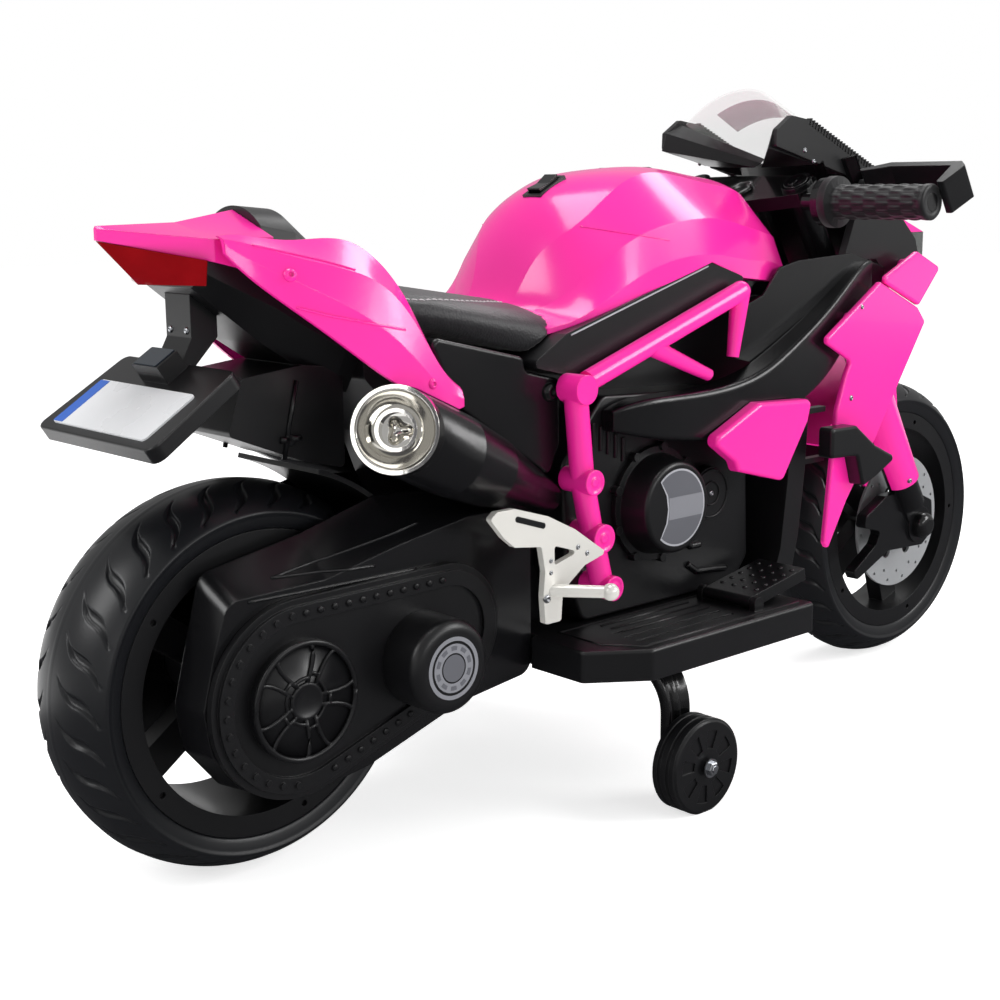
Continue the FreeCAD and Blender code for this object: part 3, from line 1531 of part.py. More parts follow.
def winglet(side):
    points = spread(winglet_shares, rear_x + winglet_setback, winglet_length, winglet_floor, winglet_height)
    return fairing_panel(points, winglet_corner, side, seat_gap, winglet_thickness, winglet_round)


# Cowl, nose and screen
def cowl_side(side):
    back = rear_x + cowl_side_setback
    points = spread(cowl_side_shares, back, cowl_side_length, cowl_side_floor, cowl_side_height)
    start = side * cowl_side_inner
    return side_prism(points, cowl_side_corner, start, side * (cowl_side_inner + cowl_side_thickness))


def nose_wire(shares, inset, scale, height):
    start = rear_x + nose_setback
    length, half = scale * (nose_length - inset), scale * (nose_half - inset)
    right = [Vector(start + u * length, -v * half, height) for u, v in shares]
    left = [Vector(p.x, -p.y, p.z) for p in right[-2::-1]]
    return polygon(right + left)


def nose_cowl():
    outer = loft([
        nose_wire(nose_plan_shares, 0, 1, nose_brow_height), nose_wire(nose_crown_shares, 0, 1, nose_crown_height),
    ], True)
    inner = loft([
        nose_wire(nose_plan_shares, nose_wall, 1, nose_brow_height),
        nose_wire(nose_crown_shares, nose_wall, 1, nose_crown_height - nose_wall),
    ], True)
    return outer.cut(inner)


def headlamp_lens():
    top = nose_brow_height - seat_gap
    shells = []
    for inset in (0, nose_wall):
        upper = nose_wire(nose_plan_shares, inset, 1, top)
        shells.append(loft([upper, nose_wire(nose_plan_shares, inset, 1, nose_lens_floor)], True))
    return shells[0].cut(shells[1])


def nose_chin():
    top = nose_lens_floor - seat_gap
    shells = []
    for inset in (0, nose_wall):
        upper = nose_wire(nose_plan_shares, inset, 1, top)
        shells.append(loft([upper, nose_wire(nose_plan_shares, inset, nose_chin_share, nose_chin_floor)], True))
    return shells[0].cut(shells[1]).cut(steering_room())


def dash_points(shares):
    return spread(shares, rear_x + dash_setback, dash_length, dash_side_floor, dash_side_height)


def dash_cowl():
    halves = []
    for side in sides:
        edge = polygon([Vector(x, side * dash_half, z) for x, z in dash_points(dash_side_shares)])
        keel = polygon([Vector(x, 0, z) for x, z in dash_points(dash_keel_shares)])
        halves.append(loft([edge, keel], True))
        rim_points = dash_points(dash_rim_shares)
        rim_end = side * (dash_half + dash_rim_thickness)
        halves.append(side_prism(rim_points, dash_rim_corner, side * dash_half, rim_end))
    return fused(halves).cut(steering_room())


def windscreen():
    points = dash_points(dash_side_shares)
    back, front = points[2], points[3]
    wires = []
    for along, half_share, rise in zip(screen_station_shares, screen_half_shares, screen_rise_shares):
        x = back[0] + along * (front[0] - back[0])
        z = back[1] + along * (front[1] - back[1]) + seat_gap
        half = dash_half * half_share
        run = screen_crest_run + along * (screen_front_run - screen_crest_run)
        crest = Vector(x + run, 0, z + screen_crest_rise * rise)
        draw = Vector(-run, 0, -screen_crest_rise * rise)
        draw.normalize()
        right, left = Vector(x, -half, z), Vector(x, half, z)
        inner_right, inner_left = right + across * screen_wall, left - across * screen_wall
        wires.append(Part.Wire([
            Part.Arc(right, crest, left).toShape(), Part.makeLine(left, inner_left),
            Part.Arc(inner_left, crest + draw * screen_wall, inner_right).toShape(),
            Part.makeLine(inner_right, right),
        ]))
    return loft(wires, False)


# Footboards, pedal and stabilisers
def footboard(side):
    back = rear_x + board_setback
    front = back + board_length
    inner = side * (chassis_half + seat_gap)
    notch = side * board_notch_half
    points = [
        (back + board_notch_run, inner), (back + board_notch_run, notch), (back, notch),
        (back, side * (board_outer - board_chamfer_in)), (back + board_chamfer_run, side * board_outer),
        (front, side * board_outer), (front, inner),
    ]
    solid = plan_prism(points, board_corner, board_top - board_thickness, board_top)
    solid = softened_top(solid, board_top, board_round)
    cuts = []
    for index in range(board_groove_count):
        level = side * (board_outer - board_corner * 2 - index * board_groove_pitch)
        corner = Vector(back + board_groove_start, level - board_groove_width / 2, board_top - board_groove_depth)
        cuts.append(Part.makeBox(board_groove_length, board_groove_width, board_groove_depth * 2, corner))
    return solid.cut(Part.makeCompound(cuts))


def pedal_pivot():
    return Vector(rear_x + pedal_setback, 0, board_top + pedal_thickness / 2 + rocker_gap)


def right_footboard():
    board = footboard(-1)
    pivot = pedal_pivot()
    bodies = [board]
    low = pedal_inner - swing_gap
    high = pedal_inner + pedal_width + swing_gap
    for start, end in ((low - pedal_lug_width, low), (high, high + pedal_lug_width)):
        boss = rod(pivot - across * start, pivot - across * end, pedal_lug_radius)
        foot = Part.makeBox(
            pedal_lug_radius * 2, end - start, pivot.z - board_top + wall,
            Vector(pivot.x - pedal_lug_radius, -end, board_top - wall),
        )
        bodies += [boss, foot]
    solid = fused(bodies)
    return fused([solid, rod(pivot - across * (low - wall), pivot - across * (high + wall), pedal_pin_radius)])


def accelerator_pedal():
    pivot = pedal_pivot()
    half = pedal_thickness / 2
    start = pivot - across * (pedal_inner + pedal_width)
    barrel = Part.makeCylinder(half, pedal_width, start, across)
    plate = Part.makeBox(pedal_length, pedal_width, pedal_thickness, start - up * half)
    solid = fused([barrel, plate])
    solid = solid.cut(Part.makeCylinder(pedal_pin_radius + running_gap, pedal_width, start, across))
    solid.rotate(pivot, across, -math.degrees(math.asin(pedal_rise / pedal_length)))
    return solid


def stabiliser_spot(side, level):
    return Vector(rear_x + stabiliser_reach, side * level, stabiliser_radius)


def stabiliser_wheel(side):
    inner = stabiliser_outer - stabiliser_width
    profile = (
        (stabiliser_bolt_radius + running_gap, inner), (stabiliser_radius - stabiliser_rib, inner),
        (stabiliser_radius, inner + stabiliser_rib), (stabiliser_radius, stabiliser_outer - stabiliser_rib),
        (stabiliser_radius - stabiliser_rib, stabiliser_outer),
        (stabiliser_bolt_radius + running_gap, stabiliser_outer),
    )
    solid = turned([(r, side * y) for r, y in profile], stabiliser_spot(side, 0))
    cuts = []
    for index in range(stabiliser_window_count):
        angle = 360 * index / stabiliser_window_count
        start = Vector(stabiliser_window_inner, side * (stabiliser_outer - stabiliser_window_depth), 0)
        run = stabiliser_window_outer - stabiliser_window_inner
        out = across * side * (stabiliser_window_depth + overrun)
        ahead = Vector(run, 0, 0)
        face = Part.Face(polygon([start, start + ahead, start + ahead + out, start + out]))
        window = face.revolve(origin, across, stabiliser_window_angle)
        window.rotate(origin, across, angle)
        window.translate(stabiliser_spot(side, 0))
        cuts.append(window)
    return solid.cut(Part.makeCompound(cuts))


def stabiliser_arm(side):
    start = stabiliser_outer - stabiliser_width - swing_gap
    end = start - arm_thickness
    spot = stabiliser_spot(side, 0)
    top = board_top - board_thickness - seat_gap
    half = arm_width / 2
    root = spot.x + arm_root_shift
    middle = (top + spot.z) / 2
    foot = half * arm_foot_share
    points = [
        (root - half * arm_root_shares[0], top), (root + half * arm_root_shares[1], top),
        (root + half * arm_waist_shares[1], middle), (spot.x + half, spot.z), (spot.x + foot, spot.z - half),
        (spot.x - foot, spot.z - half), (spot.x - half, spot.z), (root - half * arm_waist_shares[0], middle),
    ]
    plate = side_prism(points, arm_corner, side * start, side * end)
    tip = stabiliser_spot(side, stabiliser_outer + wall)
    bolt = rod(stabiliser_spot(side, end), tip, stabiliser_bolt_radius)
    nut = rod(stabiliser_spot(side, stabiliser_outer + swing_gap), tip, stabiliser_nut_radius)
    return fused([plate, bolt, nut])


def footrest(side):
    points = spread(hanger_shares, rear_x + hanger_setback, hanger_length, hanger_floor, hanger_height)
    start = side * hanger_inner
    end = side * (hanger_inner + hanger_thickness)
    plate = side_prism(points, hanger_corner, start, end)
    level = chassis_half + swingarm_thickness + seat_gap
    spot = Vector(rear_x + hanger_boss_reach, side * level, hanger_boss_height)
    boss = rod(spot, Vector(spot.x, end, spot.z), hanger_boss_radius)
    base = Vector(rear_x + peg_reach, (start + end) / 2, peg_height + peg_radius)
    yaw = math.radians(peg_yaw)
    run = Vector(math.cos(yaw), side * math.sin(yaw), 0)
    peg = rod(base, base + run * peg_length, peg_radius)
    knob = Part.makeSphere(peg_knob_radius, base + run * peg_length)
    corners = spread(hanger_window_shares, rear_x + hanger_setback, hanger_length, hanger_floor, hanger_height)
    window = side_prism(corners, hanger_window_corner, start - side * overrun, end + side * overrun)
    return fused([plate.cut(window), boss, peg, knob])


# Fork, steering stem and handlebar
def yoke(level):
    tip = fork_half + fork_tube_radius + wall
    back = -yoke_depth / 2
    front = fork_offset + yoke_depth / 2
    near, far = fork_offset - fork_cap_radius, fork_offset + fork_cap_radius
    points = [
        (back, -stem_boss), (near, -tip), (far, -tip), (front, -stem_boss), (front, stem_boss), (far, tip),
        (near, tip), (back, stem_boss),
    ]
    plate = plan_prism(points, yoke_corner, level - yoke_thickness / 2, level + yoke_thickness / 2)
    for side in sides:
        start = Vector(fork_offset, side * fork_half, level - yoke_thickness)
        plate = plate.cut(Part.makeCylinder(fork_tube_radius + seat_gap, yoke_thickness * 2, start, up))
    return plate


def steering_stem():
    stem = Part.makeCylinder(stem_radius, stem_length, Vector(0, 0, -stem_length), up)
    return steered(fused([yoke(0), yoke(lower_yoke), stem]))


def fork_leg(side):
    base = Vector(fork_offset, side * fork_half, 0)
    split = leg_length * fork_slider_share
    tube_top = yoke_thickness / 2
    tube = rod(base + up * tube_top, base - up * (split + wall), fork_tube_radius)
    cap = rod(base + up * tube_top, base + up * (tube_top + fork_cap_height), fork_cap_radius)
    slider_end = leg_length - hub_radius - wall
    slider = rod(base - up * split, base - up * slider_end, fork_slider_radius)
    near = side * dropout_inner
    axle = Vector(fork_offset, near, -leg_length)
    boss = Part.makeCylinder(dropout_radius, dropout_thickness, axle, across * side)
    start = min(near, near + side * dropout_thickness)
    bridge = Part.makeBox(
        dropout_bridge_width, dropout_thickness, dropout_bridge_height,
        Vector(fork_offset - dropout_bridge_width / 2, start, -leg_length),
    )
    leg = steered(fused([tube, cap, slider, boss, bridge]))
    points = [(front_x + u * caliper_reach, axle_z + v * caliper_reach) for u, v in caliper_shares]
    plate = side_prism(points, caliper_corner, near + side * wall, near + side * (wall + caliper_thickness))
    solid = fused([leg, plate])
    centre = Vector(front_x, 0, axle_z)
    return solid.cut(rod(centre, centre + across * side * fork_half * 2, axle_radius + seat_gap))


def front_axle():
    reach = dropout_inner + dropout_thickness
    centre = Vector(front_x, 0, axle_z)
    bodies = [rod(centre - across * reach, centre + across * reach, axle_radius)]
    for side in sides:
        start = centre + across * side * (reach + seat_gap)
        cap = Part.makeCylinder(axle_cap_radius, axle_cap_length, start, across * side)
        cap = softened(cap, side * (reach + seat_gap + axle_cap_length), axle_cap_round)
        bodies.append(cap)
        bodies.append(rod(centre, start + across * side * wall, axle_radius))
    return fused(bodies)


def front_fender():
    low = wheel_radius + fender_gap
    high = low + fender_thickness
    half = fender_half
    skirt = high - fender_skirt_drop
    inner = half - fender_thickness
    outline = [
        (high, -half), (high, half), (skirt, half), (skirt, inner), (low, inner), (low, -inner), (skirt, -inner),
        (skirt, -half),
    ]
    face = Part.Face(polygon([Vector(r, y, 0) for r, y in outline]))
    face.rotate(origin, across, -fender_start)
    arch = face.revolve(origin, across, -(fender_end - fender_start))
    arch.translate(Vector(front_x, 0, axle_z))
    bodies = [arch]
    split = leg_length * fork_slider_share
    length = leg_length * guard_cover_length_share
    for side in sides:
        base = Vector(fork_offset, side * fork_half, -split - wall)
        cover = taper(base, base - up * length, guard_cover_radius, guard_cover_end_radius)
        bore = rod(base + up * wall, base - up * (length + wall), fork_slider_radius + seat_gap)
        level = side * fork_half
        wide = guard_cover_radius * 2
        corner = Vector(fork_offset - wide, min(level, level + side * wide), -split - length * 2)
        keep = Part.makeBox(wide * 2, wide, length * 2, corner)
        bodies.append(steered(cover.cut(bore).common(keep)))
    return Part.makeCompound(bodies)


def bar_spot(side, level):
    return Vector(fork_offset - bar_setback, side * level, -bar_drop)


def handlebar(side):
    root = fork_half + fork_tube_radius + wall + seat_gap
    bar = rod(bar_spot(side, root), bar_spot(side, bar_half), bar_radius)
    edge = bar_half - grip_length
    housing = rod(bar_spot(side, edge - housing_width), bar_spot(side, edge - seat_gap), housing_radius)
    return steered(fused([bar, housing]))


def grip(side):
    start = bar_half - grip_length
    sleeve = rod(bar_spot(side, start), bar_spot(side, bar_half), grip_radius)
    flange = rod(bar_spot(side, start), bar_spot(side, start + grip_flange), grip_flange_radius)
    bore = rod(bar_spot(side, start - wall), bar_spot(side, bar_half + wall), bar_radius + running_gap)
    return steered(fused([sleeve, flange]).cut(bore))


def hand_guard(side):
    base = bar_spot(side, 0)
    end = bar_half + seat_gap
    thick = hand_guard_thickness
    front = hand_guard_reach
    points = [
        (hand_guard_start, end), (hand_guard_start, end + hand_guard_end), (front - thick, end + hand_guard_end * 2),
        (front, end + hand_guard_end), (front, hand_guard_inner + hand_guard_bend),
        (front - hand_guard_hook, hand_guard_inner),
        (front - hand_guard_hook - hand_guard_hook_depth, hand_guard_inner + hand_guard_hook_depth),
        (front - thick, hand_guard_inner + hand_guard_bend + hand_guard_hook_depth), (front - thick, end),
    ]
    half = hand_guard_height / 2
    solid = plan_prism([(x, side * y) for x, y in points], hand_guard_round, -half, half)
    solid.translate(Vector(base.x, 0, base.z - hand_guard_drop))
    return steered(solid)


nodes = {
    "right_chassis_half": chassis_shell(-1),
    "left_chassis_half": chassis_shell(1),
    "steering_head": steering_head(),
    "battery": battery(),
    "control_box": control_box(),
    "swingarms": pair(swingarm),
    "chain_covers": Part.makeCompound([pair(chain_cover), pair(sprocket_cover)]),
    "motor_caps": pair(motor_cap),
    "gearbox": gearbox(),
    "drive_motor": drive_motor(),
    "rear_axle": rear_axle(),
    "rear_mudguard": mudguard(),
    "side_trims": pair(side_trim),
    "seat_side_covers": pair(seat_cover),
    "tank_cover": tank_cover(),
    "switch_bezel": switch_bezel(),
    "direction_rocker": rocker(),
    "seat": seat(),
    "tail_cowl": tail_cowl(),
    "tail_lens": tail_lens(),
    "tail_underbody": tail_underbody(),
    "tail_pad": tail_pad(),
    "tail_panels": pair(tail_panel),
    "plate_holder": plate_holder(),
    "number_plate": number_plate(),
    "mufflers": pair(lambda side: muffler_block(side, 0)),
    "exhaust_tips": pair(exhaust_tip),
    "engine_cases": pair(engine_case),
    "engine_covers": pair(clutch_cover),
    "air_ducts": pair(air_duct),
    "frame_covers": Part.makeCompound([pair(frame_post), pair(frame_rail)]),
    "engine_guards": pair(engine_guard),
    "side_wings": pair(side_wing),
    "side_fairings": Part.makeCompound([pair(fairing), pair(upper_fairing)]),
    "winglets": pair(winglet),
    "nose_cowl": nose_cowl(),
    "headlamp_lens": headlamp_lens(),
    "nose_chin": nose_chin(),
    "dash_cowl": Part.makeCompound([dash_cowl(), pair(cowl_side)]),
    "windscreen": windscreen(),
    "right_footboard": right_footboard(),
    "left_footboard": footboard(1),
    "accelerator_pedal": accelerator_pedal(),
    "stabiliser_arms": pair(stabiliser_arm),
    "right_stabiliser_wheel": stabiliser_wheel(-1),
    "left_stabiliser_wheel": stabiliser_wheel(1),
    "footrest_hangers": pair(footrest),
    "steering_stem": steering_stem(),
    "fork_legs": pair(fork_leg),
    "front_fender": front_fender(),
    "handlebars": pair(handlebar),
    "grips": pair(grip),
    "hand_guards": pair(hand_guard),
    "front_axle": front_axle(),
    "rear_tyre": tyre(rear_tyre_half, rear_shoulder_radius, Vector(rear_x, 0, axle_z)),
    "rear_rim": rear_rim(),
    "front_tyre": tyre(front_tyre_half, front_shoulder_radius, Vector(front_x, 0, axle_z)),
    "front_rim": rim(front_tyre_half, dropout_inner - swing_gap, Vector(front_x, 0, axle_z)),
    "brake_discs": pair(brake_disc),
}

os.makedirs("parts", exist_ok=True)
for name, shape in nodes.items():
    shape.exportStep("parts/" + name + ".step")
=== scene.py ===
"""Looks of a child's battery ride-on motorbike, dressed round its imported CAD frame."""

import json
import logging
import math
from collections.abc import Callable, Iterable, Sequence
from dataclasses import dataclass, field
from enum import Enum

import bmesh
import bpy
from mathutils import Matrix, Vector
from mathutils.bvhtree import BVHTree


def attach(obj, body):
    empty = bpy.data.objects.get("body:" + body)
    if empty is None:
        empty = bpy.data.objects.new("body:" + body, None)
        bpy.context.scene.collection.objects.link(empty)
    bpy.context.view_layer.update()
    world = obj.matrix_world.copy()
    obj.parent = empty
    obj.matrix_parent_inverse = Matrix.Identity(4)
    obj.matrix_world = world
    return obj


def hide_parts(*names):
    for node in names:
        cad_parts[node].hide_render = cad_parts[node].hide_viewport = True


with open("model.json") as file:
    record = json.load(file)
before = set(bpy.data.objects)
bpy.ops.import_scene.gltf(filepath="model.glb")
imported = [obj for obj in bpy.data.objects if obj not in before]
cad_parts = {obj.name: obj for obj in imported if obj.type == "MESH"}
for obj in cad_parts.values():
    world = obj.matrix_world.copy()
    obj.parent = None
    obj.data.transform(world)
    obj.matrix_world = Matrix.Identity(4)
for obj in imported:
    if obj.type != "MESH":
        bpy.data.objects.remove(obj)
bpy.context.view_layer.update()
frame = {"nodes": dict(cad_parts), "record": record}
LOG = logging.getLogger("motorbike")
MM = 0.001
SIDES = (-1, 1)
UP = Vector((0.0, 0.0, 1.0))
# A point of the steering axis, and the axis's lean from upright.
HEAD = Vector((0.187, 0.0, 0.500))
RAKE = math.radians(31.7083)
# Cosines between a face and its rounded edge at which the painted edge highlight starts and is full.
EDGE_LIGHT_STARTS, EDGE_LIGHT_FULL = 0.97, 0.78
# Corners of a line, or radius and height along a turned form.
Pairs = Sequence[tuple[float, float]]


class Grain(Enum):
    """Kind of fine relief on a surface."""

    NOISE = "ShaderNodeTexNoise"
    CELLS = "ShaderNodeTexVoronoi"


class Body(Enum):
    """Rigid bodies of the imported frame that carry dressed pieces."""

    CHASSIS = "chassis"
    STEERING = "steering"
    FRONT_WHEEL = "front_wheel"
    REAR_WHEEL = "rear_wheel"
    RIGHT_STABILISER = "right_stabiliser"
    LEFT_STABILISER = "left_stabiliser"
    PEDAL = "pedal"


def linear(code: str) -> tuple[float, float, float, float]:
    """Turn an sRGB hex colour into linear values.

    Args:
        code: Six hex digits after a hash.

    Returns:
        Red, green, blue and alpha for a shader socket.
    """
    shares = [int(code[i:i + 2], 16) / 255 for i in (1, 3, 5)]
    return (*[c / 12.92 if c <= 0.04045 else ((c + 0.055) / 1.055) ** 2.4 for c in shares], 1.0)


def add_node(tree: bpy.types.NodeTree, kind: str, values: dict | None = None,
             links: dict | None = None, **settings: object) -> bpy.types.Node:
    """Add one shader node with its settings, socket values and incoming links.

    Args:
        tree: Node tree that takes the node.
        kind: Blender's name of the node type.
        values: Socket name or index to the value it holds.
        links: Socket name or index to the output socket that feeds it.
        settings: Properties of the node itself.

    Returns:
        The new node.
    """
    node = tree.nodes.new(kind)
    for name, value in settings.items():
        setattr(node, name, value)
    for key, value in (values or {}).items():
        node.inputs[key].default_value = value
    for key, output in (links or {}).items():
        tree.links.new(output, node.inputs[key])
    return node


@dataclass(frozen=True)
class Finish:
    """One material, from what it is made of and how its surface was made.

    Pattern sizes are in millimetres on the real object.
    """

    name: str
    colour: str
    roughness: float
    ior: float = 1.5
    metallic: float = 0.0
    grain: Grain = Grain.NOISE
    grain_mm: float = 1.0
    grain_depth_mm: float = 0.05
    mottle_mm: float = 60.0
    mottle: float = 0.05
    rough_swing: float = 0.05
    edge_mm: float = 0.8
    # Strength of a painted highlight that lightens the colour along edges.
    painted_edge_light: float = 0.0
    transmission: float = 0.0
    alpha: float = 1.0
    glow: float = 0.0
    coat: float = 0.0
    sheen: float = 0.0

    def material(self) -> bpy.types.Material:
        """Return the Blender material, made on first use."""
        return bpy.data.materials.get(self.name) or self.build()

    def build(self) -> bpy.types.Material:
        """Make the material's nodes.

        Returns:
            The new material.
        """
        made = bpy.data.materials.new(self.name)
        made.use_nodes = True
        tree = made.node_tree
        tree.nodes.clear()
        base = linear(self.colour)
        made.diffuse_color = base
        place = add_node(tree, "ShaderNodeTexCoord").outputs["Object"]
        cloud = add_node(tree, "ShaderNodeTexNoise", {"Scale": 1 / (self.mottle_mm * MM), "Detail": 4.0},
                         {"Vector": place})
        dark = tuple(c * (1 - self.mottle) for c in base[:3]) + (1.0,)
        light = tuple(min(1.0, c * (1 + self.mottle)) for c in base[:3]) + (1.0,)
        tint = add_node(tree, "ShaderNodeMix", {6: dark, 7: light}, {0: cloud.outputs[0]}, data_type="RGBA")
        colour = tint.outputs[2]
        rough = add_node(tree, "ShaderNodeMapRange",
                         {3: self.roughness - self.rough_swing, 4: self.roughness + self.rough_swing},
                         {0: cloud.outputs[0]})
        relief = add_node(tree, self.grain.value, {"Scale": 1 / (self.grain_mm * MM)}, {"Vector": place})
        bump = add_node(tree, "ShaderNodeBump", {"Strength": 1.0, "Distance": self.grain_depth_mm * MM},
                        {"Height": relief.outputs[0]})
        if self.edge_mm:
            soft = add_node(tree, "ShaderNodeBevel", {"Radius": self.edge_mm * MM}, samples=3).outputs[0]
            tree.links.new(soft, bump.inputs["Normal"])
            # Painted highlight: lighten the colour where the rounded normal turns from the flat one.
            if self.painted_edge_light:
                colour = self.paint_edge_highlight(tree, soft, colour)
        values = {"Metallic": self.metallic, "IOR": self.ior, "Transmission Weight": self.transmission,
                  "Coat Weight": self.coat, "Sheen Weight": self.sheen, "Emission Color": base,
                  "Emission Strength": self.glow, "Alpha": self.alpha}
        links = {"Base Color": colour, "Roughness": rough.outputs[0], "Normal": bump.outputs[0]}
        shader = add_node(tree, "ShaderNodeBsdfPrincipled", values, links)
        add_node(tree, "ShaderNodeOutputMaterial", None, {"Surface": shader.outputs[0]})
        return made

    def paint_edge_highlight(self, tree: bpy.types.NodeTree, soft: bpy.types.NodeSocket,
               colour: bpy.types.NodeSocket) -> bpy.types.NodeSocket:
        """Paint a highlight along edges by lightening the colour there.

        Args:
            tree: The material's nodes.
            soft: Normal that is rounded at edges.
            colour: Colour away from the edges.

        Returns:
            The colour with its painted edge highlight.
        """
        flat = add_node(tree, "ShaderNodeNewGeometry").outputs["Normal"]
        turn = add_node(tree, "ShaderNodeVectorMath", None, {0: soft, 1: flat}, operation="DOT_PRODUCT")
        highlight_share = add_node(tree, "ShaderNodeMapRange", {1: EDGE_LIGHT_STARTS, 2: EDGE_LIGHT_FULL, 3: 0.0, 4: self.painted_edge_light},
                       {0: turn.outputs["Value"]})
        highlight_colour = tuple(min(1.0, c * 3 + 0.03) for c in linear(self.colour)[:3]) + (1.0,)
        return add_node(tree, "ShaderNodeMix", {7: highlight_colour}, {0: highlight_share.outputs[0], 6: colour}, data_type="RGBA").outputs[2]


# Injection-moulded ABS from a polished mould: deep even colour, sharp reflections, faint orange peel.
PINK_ABS = Finish("pink_abs_moulded", "#F9289F", 0.20, 1.53, grain_mm=5.0, grain_depth_mm=0.035, mottle_mm=120,
                  mottle=0.04, rough_swing=0.04, edge_mm=1.4, coat=0.15)
# Injection-moulded polypropylene from an etched mould: dull black with a fine grain, and a painted highlight that
# greys its edges.
# The etch is finer than a pixel, so it is drawn at 0.9 mm.
BLACK_PP = Finish("black_polypropylene_etched", "#0F0F11", 0.33, 1.50, grain_mm=0.9, grain_depth_mm=0.05,
                  mottle_mm=70, mottle=0.12, rough_swing=0.06, edge_mm=1.0, painted_edge_light=0.2)
# The same plastic from a smooth mould: broad soft highlights along every bend, and a painted highlight that greys its
# edges.
SMOOTH_PP = Finish("black_polypropylene_smooth", "#0C0C0E", 0.24, 1.50, grain_mm=4.0, grain_depth_mm=0.03,
                   mottle_mm=90, mottle=0.12, rough_swing=0.06, edge_mm=1.4, painted_edge_light=0.15)
# Powder-coated steel: black, slightly pebbled, glossy.
POWDER_COAT = Finish("black_powder_coated_steel", "#0E0E0F", 0.20, 1.50, grain_mm=1.6, coat=0.2)
# Hard blow-moulded tyre: dark grey skin with a low sheen and faint flow marks.
TYRE_SKIN = Finish("tyre_blow_moulded", "#131417", 0.34, 1.46, grain_mm=2.2, grain_depth_mm=0.04, mottle_mm=45,
                   mottle=0.14, rough_swing=0.07, edge_mm=0.5)
# Embossed PVC sheet over foam: small creased cells, soft sheen.
SEAT_VINYL = Finish("seat_vinyl_embossed", "#1D1C1F", 0.45, 1.42, grain=Grain.CELLS, grain_mm=2.0,
                    grain_depth_mm=0.16, mottle_mm=35, mottle=0.12, rough_swing=0.06, edge_mm=0.6, sheen=0.15)
# Twisted polyester thread, pale grey.
THREAD = Finish("stitching_polyester", "#B9B4B6", 0.65, 1.55, grain_mm=0.7, grain_depth_mm=0.12, mottle_mm=5,
                mottle=0.12, edge_mm=0, sheen=0.3)
# Bright plating on plastic: mirror with a faint wave.
CHROME = Finish("chrome_plated_plastic", "#ECEAE5", 0.05, metallic=1.0, grain_mm=14.0, mottle=0.03,
                rough_swing=0.02)
# Clear lacquer over aluminium paint: silver, mirror-like only at a low angle.
SATIN_CHROME = Finish("satin_chrome_lacquer", "#E2E0DA", 0.20, metallic=0.25, grain_mm=9.0, grain_depth_mm=0.03,
                      mottle_mm=50, mottle=0.06)
# Zinc-plated steel: grey metal, brushed by tumbling.
ZINC = Finish("zinc_plated_steel", "#B4B6BA", 0.28, metallic=1.0, grain_mm=1.2, grain_depth_mm=0.04, mottle_mm=8,
              mottle=0.10, edge_mm=0)
# Silver lacquer on plastic: pale grey, satin.
SILVER_LACQUER = Finish("silver_lacquer_disc", "#B9BBBD", 0.34, metallic=0.55, grain_mm=1.5, grain_depth_mm=0.03,
                        edge_mm=0.3)
# Red acrylic lens over a dark bowl: saturated, glassy, with prisms inside.
RED_LENS = Finish("red_acrylic_lens", "#7E060D", 0.12, 1.22, grain=Grain.CELLS, grain_mm=7.0, grain_depth_mm=0.15,
                  mottle_mm=30, mottle=0.35, rough_swing=0.03)
# Clear polycarbonate sheet, slightly milky.
CLEAR_SHEET = Finish("polycarbonate_clear", "#F1F4EF", 0.08, 1.35, grain_mm=30.0, grain_depth_mm=0.02, mottle=0.01,
                     rough_swing=0.02, edge_mm=0, alpha=0.16)
# Smoked acrylic headlamp lens.
SMOKE_LENS = Finish("smoked_acrylic_lens", "#8E9290", 0.08, 1.49, grain_mm=20.0, grain_depth_mm=0.03, edge_mm=0.5,
                    rough_swing=0.02, transmission=0.75)
# Tinted glass of the plate lamp.
LAMP_GLASS = Finish("tinted_lamp_glass", "#27313C", 0.06, grain_mm=9.0, grain_depth_mm=0.03, edge_mm=0)
# Soft PVC grip: matt black, slightly chalky.
GRIP_PVC = Finish("grip_soft_pvc", "#121214", 0.45, 1.40, grain_mm=0.9, mottle_mm=12, mottle=0.12, edge_mm=0.4,
                  sheen=0.1)
# Coated plate: white, satin.
WHITE_PLATE = Finish("white_plate_coated", "#E8EAEC", 0.28, grain_mm=3.0, grain_depth_mm=0.02, mottle_mm=40,
                     mottle=0.03, edge_mm=0.3)
# Printed vinyl film: even colour, satin.
BLUE_FILM = Finish("blue_vinyl_film", "#2B63C4", 0.32, grain_mm=3.0, grain_depth_mm=0.02, edge_mm=0)
GREY_FILM = Finish("grey_vinyl_film", "#7A7B81", 0.38, grain_mm=2.0, grain_depth_mm=0.02, mottle=0.06, edge_mm=0)
# Pale grey: printed outline on the engine covers, and a painted highlight along the top edge of the side trims.
PALE_PRINT_AND_HIGHLIGHT = Finish("pale_print_and_painted_highlight", "#A0A1A7", 0.38, grain_mm=2.0, grain_depth_mm=0.02, edge_mm=0)
DARK_FILM = Finish("dark_vinyl_film", "#5A5B61", 0.34, grain_mm=2.0, grain_depth_mm=0.02, mottle=0.08, edge_mm=0)
# Tinted vinyl film that the light passes.
MAUVE_FILM = Finish("mauve_screen_film", "#B27D94", 0.30, 1.4, grain_mm=6.0, grain_depth_mm=0.03, mottle_mm=15,
                    mottle=0.10, edge_mm=0, alpha=0.38)
# Moulded plastic of the boxes inside: plain dark grey, satin.
PLAIN_CASE = Finish("battery_case_plain", "#2A2A2C", 0.5)
# Matt grey card that darkens reflections.
FLAG_CARD = Finish("flag_card_grey", "#4C4C4F", 0.8, 1.4, grain_depth_mm=0, edge_mm=0)
